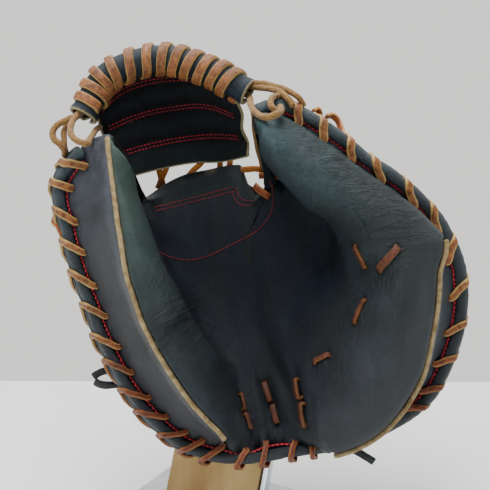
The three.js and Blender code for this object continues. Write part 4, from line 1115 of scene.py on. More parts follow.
def palm():
    """Both pads, the pocket and the heel in one leather, closed behind by the lining."""
    angles = all_round(0.8)
    speed = piping_speed(angles)[:, None]
    start, stop = 2 - PIPING_CHANNEL / speed, 2 + PIPING_CHANNEL / speed
    outer = np.linspace(0, 1, PANEL_STEPS)[None] * start
    share = np.linspace(0, 1, POCKET_STEPS)[None] ** 1.08
    inner = stop + 0.35 / speed + share * (LAST_T - stop - 0.35 / speed)
    t = np.concatenate([outer, stop, inner], axis=1)
    recess = np.zeros_like(t)
    recess[:, :PANEL_STEPS + 1] = PANEL_RECESS * in_panel(angles)[:, None]
    grid = calmed(smoothed_floor(front(angles, t, recess), t), angles, t)
    normals = grid_normals(grid)
    crest = np.unravel_index(np.argmin(grid[..., 1]), t.shape)
    if normals[crest][1] > 0:
        normals = -normals
    angle = np.broadcast_to(angles[:, None], t.shape)
    distance = (t - 2) * speed
    puff = np.where(t > 2, 0.8 * bell(distance - 6, 3.2) - 0.9 * bell(distance - 2.2, 1.6), 0)
    covered = in_panel(angles)[:, None] > 0
    shown = np.where((t < 2) & covered, 0, 1)[..., None]
    moved = relief(grid, normals, t) + normals * (hem(angle, t) + puff * covered)[..., None]
    grid = grid + (moved - grid) * shown
    tint = palm_tint(grid, angle, t)
    shares = np.concatenate([np.linspace(0, 1, 14), np.linspace(1, 1.97, 12)[1:]])
    behind = np.stack([lining(angles, share) for share in shares[::-1]], axis=1)
    rows = np.concatenate([behind, grid], axis=1).transpose(1, 0, 2)
    tints = np.concatenate([np.broadcast_to(srgb(40, 38, 38), behind.shape), tint], axis=1).transpose(1, 0, 2)
    count, last = len(angles), (len(rows) - 1) * len(angles)
    centres = np.array([around(0, 0, POCKET_LINING), rows[-1].mean(axis=0)])
    points = np.concatenate([rows.reshape(-1, 3), centres])
    k = np.arange(count)
    following = (k + 1) % count
    fans = np.concatenate([np.stack([following, k, 0 * k + len(points) - 2], axis=1),
                           np.stack([last + k, last + following, 0 * k + len(points) - 1], axis=1)])
    tints = np.concatenate([tints.reshape(-1, 3), [tints[0, 0], tints[-1, 0]]])
    piece = new_piece("palm_leather", points, ring_faces(len(rows), count), "palm", tints,
                      fans=fans, folds=fold_lines(points))
    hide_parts("palm_shell")
    return piece


def side_panel(name, node_name, span, stops):
    """The leather between the rim and the piping, on the outer side of a pad."""
    angles = np.arange(span[0], span[1] + 0.01, 0.75)
    inner = 2 - (PIPING_CHANNEL - 0.5) / piping_speed(angles)[:, None]
    t = 0.05 + np.linspace(0, 1, 34)[None] * (inner - 0.05)
    upper, lower = front(angles, t), front(angles, t, PANEL_THICK)
    normals = unit(upper - lower)
    distance = (2 - t) * piping_speed(angles)[:, None]
    puff = 0.7 * bell(distance - 7, 4) - 0.9 * bell(distance - 2, 1.8)
    seam = -0.7 * bell(hole_line(angles, t), 1.6)
    upper = relief(upper, normals, t) + normals * (puff + seam + 0.15)[..., None]
    # The colour stops run lighter towards the top: partly the panel's own tone, partly painted light from
    # above
    up = across_up(upper)[1]
    # Darker round the holes: painted shade in their dimples
    tint = blended(stops, up) * (1 - 0.55 * bell(hole_distance(upper), 3.2))[..., None]
    # Painted highlight along the puffed band beside the piping
    tint = tint * (1 + 0.5 * bell(distance - 6, 3.4))[..., None]
    points, faces, _ = sheet(upper, PANEL_THICK, lower)
    piece = new_piece(name, points, faces, "panel", spread(tint), folds=fold_lines(points))
    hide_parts(node_name)


def seam_inset(angle):
    """How far the seam along the rim lies from the leather's edge."""
    return 4.2 + 0.8 * leftness(angle)


def hole_line(angles, t):
    """How far each point lies from the seam that runs along the rim, in millimetres."""
    runs = np.array([np.interp(row, FINE_T, run_of(angle, FINE_T)) for angle, row in zip(angles, t)])
    return runs - seam_inset(angles)[:, None]


def evened(path, rounds):
    """A line with its small kinks taken out, its ends held."""
    for _ in range(rounds):
        path = np.concatenate([path[:1], (path[:-2] + 2 * path[1:-1] + path[2:]) / 4, path[-1:]])
    return path


def piping(name, node_name, span):
    angles = np.arange(span[0] - 0.5, span[1] + 0.6, 0.8)
    centres = np.array([front_at(a, 2, 0.1) for a in angles])
    path = even(evened(spline(centres, 3), 12), 1.0)
    rings = cord_rings(path, 1.85, 14, 0.004)
    count = rings.shape[1]
    points, faces = capped(rings)
    rows = len(points) // count
    u = np.tile(np.arange(count) / count * 10, rows)
    v = np.repeat(np.arange(rows) * 1.0, count)
    piece = new_piece(name, points, faces, "piping", uv=np.stack([u, v], axis=1))
    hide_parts(node_name)


ROLL_START = 141.5


def leftness(angle):
    """1 along the thumb side and the heel, where both rolls show, 0 along the finger side."""
    return smoothstep(PAD_START - 4, 140, angle) * smoothstep(312, 290, angle)


def roll_centre(angle, which):
    """(R, Y) of a rolled edge: the front one lies further in on the thumb side."""
    left = leftness(angle)
    R = column("rimR", angle) - 3.8
    Y = column("rimY", angle)
    if which == "front":
        return R - 3.0 * left - 2.0 * (1 - left), Y - ROLL_SPACING / 2 - 0.6 * left + 0.6 * (1 - left)
    return R + 0.2 * left - 1.8 * (1 - left), Y + ROLL_SPACING / 2 - 1.2 * left


def rolled_edge(name, node_name, which, span):
    angles = np.arange(span[0], span[1] + 0.01, 0.6)
    R, Y = roll_centre(angles, which)
    path = even(around(angles, R, Y), 1.1)
    holes = np.array([outer for wraps in RIM_WRAPS.values() for _, outer in wraps])
    at = np.degrees(np.arctan2(path[:, 2] - POCKET_Z, path[:, 0] - POCKET_X)) % 360
    gap = np.min(np.abs((at[:, None] - holes[None] + 180) % 360 - 180), axis=1)
    radius = ROLL_RADIUS * (1.04 - 0.1 * bell(gap, 2.2))
    if which == "front":
        radius = radius + 0.8 * (1 - leftness(at + 360 * (at < PAD_START)))
    rings = cord_rings(path, radius, 20, 0.055)
    points, faces = capped(rings)
    piece = new_piece(name, points, faces, "roll", roll_tint(points))
    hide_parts(node_name)


def roll_tint(points):
    # Lighter towards the top: painted light from above over the rolls' slate colour
    up = across_up(points)[1]
    return blended([(-150, srgb(32, 38, 44)), (0, srgb(44, 54, 60)), (110, srgb(62, 76, 80))], up)


# The web
WEB_LINES = {
    "tube": [[-113, 91, 2], [-98, 117, 9], [-59.5, 130.5, 14], [-26.6, 122.5, 10], [2, 107, 3]],
    "row1": [[-104, 90, 11], [-89, 105.5, 20], [-66, 114.5, 27], [-34, 115.5, 23], [-5, 103, 12]],
    "row2": [[-100, 80, 20], [-74.9, 90.3, 30], [-53.9, 95.2, 38], [-28, 97.3, 34], [-2.5, 88.5, 20]],
    "row3": [[-93, 62, 25], [-65.1, 70, 40], [-45.5, 73.9, 46], [-23.1, 76.3, 44], [0, 74.9, 32]],
    "bottom": [[-86, 47, 28], [-57.4, 54.5, 46], [-38.5, 58, 50], [-17.5, 59, 49], [3, 63, 35]],
}
WEB_COLUMNS = 128
CURL_FROM, CURL_STEPS = 322, 44
HANG_STEPS = 14
ROW_GAP, ROW_SPACING = 1.35, 17.0


def web_line(name, count=WEB_COLUMNS):
    points = spline(WEB_LINES[name], count // 4)
    return np.array([seen(*p) for p in points])


LINES = {name: web_line(name) for name in WEB_LINES}


def tube_frame():
    """Centre, direction along the tube, away from the viewer and up across it, for each column."""
    centre = LINES["tube"]
    along = unit(np.gradient(centre, axis=0))
    away = np.array([0, 1.0, 0]) - along * along[:, 1:2]
    away = unit(away)
    return centre, along, away, unit(np.cross(along, away))


TUBE = tube_frame()


def tube_flare():
    """The tube opens out a little at its two ends."""
    u = np.linspace(0, 1, len(TUBE[0]))
    return TUBE_RADIUS + 1.6 * bell(u, 0.035) + 0.9 * bell(1 - u, 0.03)


def round_the_tube(k, degrees, radius, drop=1.0):
    """A point round the tube's axis at column k, by degrees from its far side."""
    centre, _, away, up = (np.stack([np.interp(k, np.arange(len(v)), v[:, i]) for i in range(3)], axis=-1)
                           for v in TUBE)
    turn = radians(degrees)
    height = np.sin(turn) * radius
    height = np.where(height < 0, height * drop, height)
    return centre + away * (np.cos(turn) * radius)[..., None] + up * height[..., None]


def web():
    """One leather piece: four bands between rows of stitches, rolled into a tube at the top."""
    columns = np.arange(len(TUBE[0]))
    flare = tube_flare()
    turns = np.linspace(CURL_FROM, 0, CURL_STEPS)
    curl = np.stack([round_the_tube(columns, turn, flare) for turn in turns], axis=1)
    grid = []
    for k in columns:
        rows = [curl[k, -1]] + [LINES[name][k] for name in ("row1", "row2", "row3", "bottom")]
        hang = spline(rows, HANG_STEPS)
        grid.append(np.concatenate([curl[k], hang[1:]]))
    grid = np.array(grid)
    bands = np.concatenate([np.full(CURL_STEPS, -1.0), np.arange(1, 4 * HANG_STEPS + 1) / HANG_STEPS])
    normals = grid_normals(grid)
    if normals[len(columns) // 2, -HANG_STEPS][1] > 0:
        normals = -normals
    nearest = np.round(np.clip(bands, 1, 3))
    off_row = np.abs(bands - nearest) * ROW_SPACING
    ends = np.clip(np.minimum(columns, columns[-1] - columns) / 10, 0, 1)[:, None]
    puff = np.where(bands > 0, 1.5 * (1 - bell(np.maximum(off_row - ROW_GAP - 0.3, 0), 3.4)) - 0.3, 0)[None]
    sides = 0.5 * noise(grid, 13, 3) + 0.2 * noise(grid, 5, 7)
    grid = grid + normals * ((puff - 0.4) * ends + sides * (bands > -0.5) + 0.12 * sides)[..., None]
    wave = 1.1 * np.sin(bands * 4.1 + 0.8) * (bands > 0.2)
    growing = np.array([0.35, 0.7, 1])[:, None, None]
    grid[-3:] = grid[-3:] + np.array([1.0, 0, 0]) * wave[None, :, None] * growing
    curled = bands < 0
    # The rolled tube is lighter than the bands: partly its own slate tone, partly painted sheen on its round
    # form
    tint = np.where(curled[None, :, None], srgb(34, 45, 54), srgb(11, 17, 24)) + 0 * grid
    lower = smoothstep(2.6, 4.0, bands)[None]
    tint = mix(tint, srgb(18, 34, 34), lower * 0.7 + 0 * grid[..., 0])
    # Painted shade in the pinched grooves along the stitch rows
    tint = tint * (1 - 0.35 * bell(off_row - ROW_GAP, 0.9) * (bands > 0))[None, :, None]
    points, faces, edge = sheet(grid, WEB_THICK)
    over = np.cumsum(np.concatenate([[0], np.linalg.norm(np.diff(grid[:, -20], axis=0), axis=1)])) / 1.7
    weight = np.where(bands > 0.1, 0.25 + 0.65 * bell(off_row - ROW_GAP, 3.2), 0.15)
    folds = np.stack(np.broadcast_arrays((bands * 1.6)[None], over[:, None], weight[None]), axis=-1)
    piece = new_piece("web_panel", points, faces, "web", spread(tint), edge=("raw", edge),
                      folds=spread(folds))
    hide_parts("web")
    return grid, normals


def web_stitches(grid, normals):
    parts = []
    first = {1: 6, 2: 5, 3: 5}
    for row in (1, 2, 3):
        j = CURL_STEPS + row * HANG_STEPS - 1
        for side in (-1, 1):
            step = grid[:, j + 1] - grid[:, j - 1]
            path = grid[:, j] + unit(step) * side * ROW_GAP + normals[:, j] * (WEB_THICK / 2 + 0.05)
            span = slice(first[row], len(path) - (4 if row > 1 else 16))
            fine = even(path[span], 0.5)
            facing = np.tile(normals[len(normals) // 2, j], (len(fine), 1))
            parts.append(stitches(fine, facing, 3.0, 2.1, 0.4))
    points, faces = joined(parts)
    new_piece("web_stitching", points, faces, "thread", tint=srgb(255, 255, 255))


CROWN_WRAPS = 12
CROWN_START = 262


def crown_lace():
    """Lace wound round the web's tube, through a hole under it at each turn."""
    steps = 26
    wraps = np.arange(CROWN_WRAPS * steps + 1) / steps
    u = 0.05 + 0.9 * wraps / CROWN_WRAPS
    k = u * (len(TUBE[0]) - 1)
    degrees = CROWN_START - wraps * 360
    radius = np.interp(k, np.arange(len(TUBE[0])), tube_flare()) + WEB_THICK / 2 + LACE_THICK / 2 + 0.15
    turn = radians(degrees)
    tight = radius - 0.9 * bell(((degrees + 95 + 180) % 360) - 180, 30)
    tight = tight - 4.0 * smoothstep(0.12, 0.0, np.minimum(wraps, CROWN_WRAPS - wraps))
    path = round_the_tube(k, degrees, tight, 1.18)
    path = path + 0.35 * noise(np.stack([wraps * 1.7, turn / 6, 0 * turn], axis=-1), 1.0)[:, None]
    side = read_off(k, np.arange(len(TUBE[1])), TUBE[1])
    points, faces, raw = ribbon(path, side, LACE_WIDTH + 0.5, LACE_THICK + 0.7, 4.0)
    tint = np.ones((len(points), 3)) * (0.85 + 0.25 * noise(points, 14, 2))[:, None]
    piece = new_piece("crown_lacing", points, faces, "lace", tint, raw)
    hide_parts("crown_lace")


# Lacing round the rim
def rim_tangent(angle):
    ahead, behind = (around(a, column("rimR", a), column("rimY", a)) for a in (angle + 1, angle - 1))
    return unit(ahead - behind)


def on_roll(angle, which, degrees, height=0.15):
    """A point on a rolled edge: 90 degrees faces the viewer, 0 outwards, -90 away."""
    R, Y = roll_centre(angle, which)
    reach = ROLL_RADIUS + LACE_THICK / 2 + height
    turn = math.radians(degrees)
    return around(angle, R + reach * math.cos(turn), Y - reach * math.sin(turn))


def rim_lace_path(wraps, open_back):
    places, sides = [], []

    def add(angle, place):
        places.append(place)
        sides.append(rim_tangent(angle))

    def behind(angle):
        if not open_back:
            return lift_back(angle, 0.11, 1.6)
        R = float(column("rimR", angle)) - 18
        return around(angle, R, float(lining_depth(angle, R)) + 4)

    def through(angle):
        return lift(angle, t_after(angle, HOLE_INSET), -3)

    add(wraps[0][0], behind(wraps[0][0]))
    add(wraps[0][0], through(wraps[0][0]))
    for i, (hole, outer) in enumerate(wraps):
        following = wraps[i + 1][0] if i + 1 < len(wraps) else hole + 0.6 * (hole - wraps[i - 1][0])
        add(hole, lift(hole, t_after(hole, HOLE_INSET - 0.4), 0.2))
        left = leftness(hole)
        for share, degrees in ((0.45, 122), (0.66, 88), (0.84, 52 + 12 * left)):
            add(lerp(hole, outer, share), on_roll(lerp(hole, outer, share), "front", degrees))
        add(outer, on_roll(outer, "back", 38 if left > 0.5 else 5, 0.3))
        add(lerp(outer, following, 0.12), on_roll(lerp(outer, following, 0.12), "back", -5, 0.2))
        if not open_back:
            add(lerp(outer, following, 0.4), on_roll(lerp(outer, following, 0.4), "back", -50))
        else:
            turned = lerp(outer, following, 0.35)
            R = float(column("rimR", turned))
            add(turned, around(turned, R - 3.8 - 5, float(column("rimY", turned)) + 9))
        add(lerp(outer, following, 0.95), behind(lerp(outer, following, 0.95)))
        if i + 1 < len(wraps):
            if not open_back:
                add(following, lift_back(following, 0.15, -2.5))
            add(following, through(following))
    return np.array(places), np.array(sides)


def rim_lace(name, node_name, wraps, open_back):
    places, sides = rim_lace_path(wraps, open_back)
    path = spline(places, 7)
    at = np.linspace(0, len(places) - 1, len(path))
    side = read_off(at, np.arange(len(sides)), sides)
    along = unit(np.gradient(path, axis=0))
    side = unit(side - along * np.sum(side * along, axis=1, keepdims=True))
    width = lerp(4.3, 6.0, smoothstep(-130, 70, across_up(path)[1])) - 0.5 * leftness(np.mean(wraps))
    points, faces, raw = ribbon(path, side, width, LACE_THICK, len(name))
    tint = np.ones((len(points), 3)) * (0.9 + 0.25 * noise(points, 12, 6))[:, None]
    tint = tint * mix(srgb(255, 255, 255), srgb(196, 154, 142), smoothstep(-30, -115, across_up(points)[1]))
    piece = new_piece(name, points, faces, "lace", tint, raw)
    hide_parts(node_name)


def palm_lace(k, start, end):
    """A short stitch of lacing between two holes, pressed into the leather."""
    def spot(f, height):
        angle, R = lerp(start[0], end[0], f), lerp(start[1], end[1], f)
        return lift(angle, seen_at(angle, R), height)

    shape = ((0.03, -3.6), (0.0, -1.0), (0.06, 0.4), (0.25, 0.9), (0.5, 1.1), (0.75, 0.9), (0.94, 0.4),
             (1.0, -1.0), (0.97, -3.6))
    places = np.array([spot(f, height) for f, height in shape])
    path = spline(places, 6)
    out = spot(0.5, 2) - spot(0.5, 0)
    side = unit(np.cross(places[6] - places[2], out))
    width = {1: 2.0, 2: 2.6, 7: 3.4, 8: 2.8, 9: 2.8, 10: 4.6}.get(k, 3.7)
    points, faces, raw = ribbon(path, np.tile(side, (len(path), 1)), width, LACE_THICK, k)
    deep = 0.27 if k <= 6 else 0.36
    tint = np.ones((len(points), 3)) * srgb(250, 205, 190) * deep
    piece = new_piece(f"palm_stitch_lace_{k}", points, faces, "lace", tint, raw)
    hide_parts(f"palm_lace_{k}")


# Thread stitching along the rim and in the pocket
def thread_along(name, points_and_normals, step=3.2, length=2.2, radius=0.42, shade=1.0):
    parts = []
    for path, normals in points_and_normals:
        fine = even(path, 0.5)
        at = np.linspace(0, len(path) - 1, len(fine))
        up = read_off(at, np.arange(len(normals)), normals)
        parts.append(stitches(fine, up, step, length, radius))
    points, faces = joined(parts)
    new_piece(name, points, faces, "thread", tint=np.array([shade, shade, shade]))


def surface_path(angles, ts, height=0.2):
    path = np.array([lift(a, t, height) for a, t in zip(angles, ts)])
    normals = np.array([lift(a, t, 1.0) - lift(a, t, 0.0) for a, t in zip(angles, ts)])
    return path, normals


def rim_stitching():
    angles = np.arange(ROLL_START + 1, PAD_END - 3.5, 2.0)
    lines = []
    for part in (angles[angles <= 302], angles[angles >= 318]):
        lines.append(surface_path(part, [t_after(a, seam_inset(a)) for a in part], 0.45))
    thread_along("rim_stitching", lines, 3.4, 2.6, 0.6, 1.3)


# Stitched lines in the pocket as (across, up) places where the viewer sees them
POCKET_SEAMS = {
    "arc": [(-60, -5), (-53, -8), (-41, -10.5), (-27, -8), (-14, -2), (-4, 3), (7, 9), (14, 16), (18.5, 23),
            (19.5, 32), (19, 41), (17, 46)],
    "top_1": [(-63, 26.5), (-35, 33.5), (-7, 41)],
    "top_2": [(-62, 23.8), (-34, 30.8), (-6.5, 38)],
    "notch_1": [(-6.5, 40.5), (-4, 34), (0, 31), (5, 31)],
    "notch_2": [(-9, 38), (-6.5, 31.5), (-2, 28), (5, 28)],
}


def upright(points):
    """From the part's frame in metres back to the mitt's own frame in millimetres."""
    p = np.asarray(points, float) / MM - np.array(MITT_PLACE)
    y = p[..., 1] * math.cos(LEAN) - p[..., 2] * math.sin(LEAN)
    z = p[..., 2] * math.cos(LEAN) + p[..., 1] * math.sin(LEAN)
    return np.stack([p[..., 0], y, z], axis=-1)


def shown_surface(tree, across, up):
    """The first place of a mesh on the viewer's line through (across, up), and the way it faces."""
    near, far = (Vector(leant(seen(across, up, depth))) for depth in (-160.0, 120.0))
    place, normal, _, _ = tree.ray_cast(near, (far - near).normalized())
    if place is None:
        return None, None
    ahead = upright(np.array(place) + np.array(normal) * MM) - upright(np.array(place))
    return upright(np.array(place)), ahead


def pocket_seams(palm_piece):
    tree = BVHTree.FromObject(palm_piece, bpy.context.evaluated_depsgraph_get())
    lines = []
    for route in POCKET_SEAMS.values():
        curve = spline(np.array([(x, z, 0) for x, z in route]), 8)
        found = [shown_surface(tree, x, z) for x, z, _ in curve]
        found = [(place, normal) for place, normal in found if place is not None and place[1] > 12]
        if len(found) > 3:
            places, normals = (np.array(v) for v in zip(*found))
            lines.append((places + normals * 0.15, normals))
    thread_along("pocket_stitching", lines, 2.7, 1.9, 0.34, 0.62)


# Round laces as [across, up, depth] in the viewer's sight, each with its radius
JUNCTION_LACES = {
    "junction_loop_left_1": ("junction_lace_left_1", 2.35,
                             [[-112.5, 99, 6], [-114, 94.5, 4], [-118, 90, 1], [-124.5, 87.5, -2],
                              [-131, 84, -4], [-134.5, 79, -5.5], [-133.5, 74, -6.5],
                              [-129.5, 70.5, -6.5], [-126.5, 67, -4],
                              [-126, 62.5, 1]]),
    "junction_loop_left_2": ("junction_lace_left_2", 2.25,
                             [[-112, 97, 0], [-116.5, 92, -4], [-121, 86.5, -11], [-122.3, 81, -17],
                              [-121, 76.5, -22], [-117, 73, -26], [-112, 71.5, -27.5], [-109, 71.8, -24]]),
    "junction_loop_left_3": (None, 2.1,
                             [[-110.5, 95, 8], [-121, 88, 6], [-126.3, 81, 2], [-126.6, 75, -2],
                              [-126.2, 69.5, -3.5], [-125, 64, 1]]),
    "junction_loop_left_4": (None, 2.1,
                             [[-97, 88, 34], [-100, 84.5, 24], [-104, 80.5, 6], [-107, 76.5, -8],
                              [-110, 72.5, -20], [-113, 70.5, -25]]),
    "junction_loop_right_1": ("junction_lace_right_1", 2.35,
                              [[-8, 113, 10], [-1, 112.4, 5], [6, 110.8, 1], [13, 109.8, -5],
                               [21, 108.6, -12], [26.5, 105.6, -18], [30.5, 101.6, -22], [33, 97.5, -23]]),
    "junction_loop_right_1b": (None, 2.1,
                               [[3, 113.6, 3], [12, 113.2, -3], [22, 110.8, -10], [31, 107.4, -15],
                                [37.5, 103.4, -17], [41, 98, -14]]),
    "junction_loop_right_2": ("junction_lace_right_2", 2.35,
                              [[0, 106.5, 8], [3, 103, 0], [4.2, 98, -12], [7, 93.2, -26], [12, 90, -36],
                               [17.5, 89.4, -42], [22.3, 91.4, -42], [24.8, 94.4, -36], [24.6, 96.6, -30]]),
    "junction_loop_right_3": (None, 2.2,
                              [[27.5, 101, -8], [24, 104.2, -16], [19.5, 103.6, -24], [17.6, 100, -30],
                               [19.3, 96, -33], [21.8, 93.6, -33]]),
    "junction_loop_right_4": (None, 2.0,
                              [[5.6, 95, 0], [6.3, 88, 6], [6.8, 80, 14], [8, 72, 22], [9.5, 66, 28],
                               [11, 60, 35], [12.5, 54, 41], [13, 50, 43]]),
}
AMBER_STRAPS = {
    "web_base_strap_1": ("web_base_lace_1", [[-61, 64, 53], [-60.5, 55, 51], [-59, 48, 53], [-57, 41, 61]]),
    "web_base_strap_1b": (None, [[-54, 63, 54], [-55, 54, 52], [-58, 47, 54], [-61, 40, 61]]),
    "web_base_strap_2": ("web_base_lace_2", [[-28, 62, 54], [-31, 57, 52], [-37, 51.5, 51], [-41, 46, 55]]),
    "web_base_strap_3": ("web_base_lace_3", [[-17, 63, 54], [-17.4, 57, 52], [-18, 51, 54]]),
    "web_base_strap_4": (None, [[-10, 63, 54], [-10.6, 57, 52], [-12, 51, 54]]),
    "notch_strap_1": (None, [[-3, 52.4, 50], [0, 52.8, 44], [6, 53.4, 42], [12, 52.8, 41], [17, 52.4, 43]]),
    "notch_strap_2": (None, [[11, 61, 46], [13, 57.5, 43], [14.5, 53, 42]]),
}
BROWN_STUBS = {
    "notch_lace_1": [[10.5, 48.5, 40], [14, 48.7, 34], [19, 48.6, 33], [23, 48.4, 38]],
    "notch_lace_2": [[7, 41.5, 41], [9.5, 39, 36], [13.5, 36.2, 35], [17, 34, 39]],
}
KNOTS = {
    "lace_end_top": [[48, 94, 8], [50.5, 95, 10], [52, 92.5, 12], [52.5, 88, 14]],
    "lace_tail_top": [[57, 90, 8], [61, 90.5, 12], [65, 87, 14], [67, 82, 12], [68.5, 77, 8]],
    "lace_tail_left": [[-125, 28, 14], [-131, 22, 12], [-133.5, 16, 12], [-131, 13.5, 8], [-128, 8, 6],
                       [-126, 2, 6]],
}
DARK_TAILS = {
    "dark_tail_1": [[-70, -76, 30], [-82, -82, 34], [-93, -87, 34], [-98, -88, 32], [-103, -90, 31],
                    [-106, -92, 31]],
    "dark_tail_2": [[-66, -86, 30], [-78, -93, 34], [-88, -97, 34], [-95, -98, 32], [-101, -97.5, 31],
                    [-105, -95.5, 31]],
    "dark_tail_3": [[58, -124, 34], [68, -135, 36], [76, -143, 36], [81, -146, 34], [86, -149, 33],
                    [90, -151.5, 33]],
}


def route_path(route, step):
    """An even path through places given as the viewer sees them."""
    return even(spline(np.array([seen(*place) for place in route]), 10), step)


def round_laces():
    for name, (node_name, radius, route) in JUNCTION_LACES.items():
        path = route_path(route, 0.7)
        path = path + 0.35 * np.stack([noise(path, 7, k) for k in (1, 4, 9)], axis=1)
        points, faces = capped(cord_rings(path, radius, 14, 0.09, radius))
        piece = new_piece(name, points, faces, "cord")
        if node_name:
            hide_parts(node_name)
        route = leant(path)


def amber_straps():
    for k, (name, (node_name, route)) in enumerate(AMBER_STRAPS.items()):
        path = route_path(route, 0.7)
        side = np.tile(unit(np.cross(path[-1] - path[0], (0.1, 1.0, 0.2))), (len(path), 1))
        points, faces, _ = ribbon(path, side, 4.4, 2.2, k + 0.5)
        piece = new_piece(name, points, faces, "amber")
        if node_name:
            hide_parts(node_name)


def short_straps():
    """Free ends and stubs of flat lacing."""
    for group, material, width, tint in ((BROWN_STUBS, "lace", 5.0, srgb(240, 190, 175)),
                                         (KNOTS, "lace", 4.6, srgb(255, 225, 205)),
                                         (DARK_TAILS, "dark_lace", 5.6, srgb(30, 32, 38))):
        for k, (name, route) in enumerate(group.items()):
            path = route_path(route, 0.8)
            side = np.tile(unit(np.cross(path[-1] - path[0], (0.2, 1.0, 0.3))), (len(path), 1))
            points, faces, raw = ribbon(path, side, width, LACE_THICK, k + 1.0)
            tints = np.ones((len(points), 3)) * tint
            new_piece(name, points, faces, material, tints, raw)


# Back of the mitt, plain
BACK_STEPS = np.concatenate([np.linspace(0, 0.12, 8), np.linspace(0.16, 1, 34)])


def back_hole_distance(points):
    """How far each point lies from the nearest hole that the rim's lacing leaves the back by."""
    flat = points.reshape(-1, 3)
    near = np.full(len(flat), 1e3)
    for key in ("thumb", "fingers"):
        for hole, _ in RIM_WRAPS[key][1:]:
            near = np.minimum(near, np.linalg.norm(flat - back(hole, 0.13), axis=1))
    return near.reshape(points.shape[:-1])


def settled(grid, share, rounds):
    """Evens rows out along the angle, as much as share says."""
    for _ in range(rounds):
        middle = (grid[:-2] + 2 * grid[1:-1] + grid[2:]) / 4
        grid = np.concatenate([grid[:1], lerp(grid[1:-1], middle, share), grid[-1:]])
    return grid


def back_half(name, node_name, low, high):
    angles = np.arange(low, high + 0.01, 1.0)
    grid = np.stack([back(angles, s) for s in BACK_STEPS], axis=1)
    lower = np.stack([back(angles, s, True) for s in BACK_STEPS], axis=1)
    calm = (0.9 * smoothstep(0.55, 0.9, BACK_STEPS))[None, :, None]
    grid, lower = settled(grid, calm, 60), settled(lower, calm, 60)
    normals = unit(grid - lower)
    dents = bell(back_hole_distance(grid), 2.7)
    grid = grid + normals * (0.5 * noise(grid, 26) + 0.2 * noise(grid, 9, 3) - 1.3 * dents)[..., None]
    # Darker in the dents at the holes: painted shade
    tint = mix(srgb(25, 32, 41), srgb(34, 42, 50), 0.5 + 0.5 * noise(grid, 40)) * (1 - 0.6 * dents)[..., None]
    points, faces, _ = sheet(grid, BACK_THICK, lower)
    piece = new_piece(name, points, faces, "back", spread(tint))
    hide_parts(node_name)
    window = grid[:, -1] + unit(grid[:, -1] - grid[:, -2]) * 0.8
    rings = cord_rings(even(window, 1.2), 2.6, 14, 0.05)
    points, faces = capped(rings)
    new_piece(f"{name}_binding", points, faces, "roll", srgb(40, 46, 54))
    seam = grid[:, -6]
    return seam[4:-4], normals[4:-4, -6]


STRAP_ARC = (230, 328)
STRAP_MIDDLE_R, STRAP_DEPTH, STRAP_FALL, STRAP_END_FALL = 88, 104, 8.7e-6, 16
STRAP_HALF_WIDTH, STRAP_THICK, STRAP_CLEARANCE = 15, 3.5, 2.7


def wrist_strap():
    """A plain strap across the back of the wrist."""
    angles = np.linspace(*STRAP_ARC, 90)
    shares = np.linspace(-1, 1, 26)
    away = np.abs(angles - sum(STRAP_ARC) / 2)
    rise = STRAP_DEPTH - STRAP_FALL * away ** 4 - STRAP_END_FALL * smoothstep(30, 49, away)
    half_width = STRAP_HALF_WIDTH * np.sqrt(1.02 - np.clip((away - 41) / 8, 0, 1) ** 2)
    held = np.where((angles < HEEL_GAP[0]) | (angles > HEEL_GAP[1]), angles, HEEL_GAP[1] + 1)
    grid = []
    for share in shares:
        R = STRAP_MIDDLE_R / np.maximum(0.88, np.cos(radians(away))) + share * half_width
        edge_r = column("rimR", held) - inset(held)
        s = np.clip((edge_r - R) / (edge_r - window_radius(held)), 0, 1)
        depth = np.maximum(rise, back(held, s)[..., 1] + STRAP_CLEARANCE) + 1.2 * (1 - share ** 4)
        grid.append(around(angles, R, depth))
    grid = smooth_grid(np.array(grid).transpose(1, 0, 2), 6)
    points, faces, _ = sheet(grid, STRAP_THICK)
    piece = new_piece("wrist_strap_leather", points, faces, "back",
                      spread(srgb(30, 36, 45) + 0 * grid))
    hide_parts("wrist_strap")
    normals = grid_normals(grid)
    if normals[45, 13][1] < 0:
        normals = -normals
    lines = [(grid[3:-3, k] + normals[3:-3, k] * 1.8, normals[3:-3, k]) for k in (3, -4)]
    lines += [(grid[k, 3:-3] + normals[k, 3:-3] * 1.8, normals[k, 3:-3]) for k in (3, -4)]
    return lines


def smooth_grid(grid, rounds):
    for _ in range(rounds):
        inner = (grid[2:, 1:-1] + grid[:-2, 1:-1] + grid[1:-1, 2:] + grid[1:-1, :-2]) / 4
        grid = grid.copy()
        grid[1:-1, 1:-1] = inner
    return grid


# The stand
STAND_TURN, STAND_BEHIND = math.radians(-30), 20.0
STAND_LEAN = math.radians(22)
PLATE_WIDTH, PLATE_THICK, PLATE_FOOT, PLATE_TOP = 84.0, 2.0, 8.2, 101.0
BASE_SIZE = (150.0, 110.0, 6.0)


def on_stand(points):
    """From the stand's own frame, with its plate facing the viewer, to the part's, in metres."""
    p = np.asarray(points, float)
    c, s = math.cos(STAND_TURN), math.sin(STAND_TURN)
    x = p[..., 0] * c - p[..., 1] * s
    y = p[..., 0] * s + p[..., 1] * c
    stand_x = STAND_BEHIND * math.sin(STAND_TURN)
    stand_y = -STAND_BEHIND * math.cos(STAND_TURN)
    return np.stack([x + stand_x, y + stand_y, p[..., 2]], axis=-1) * MM


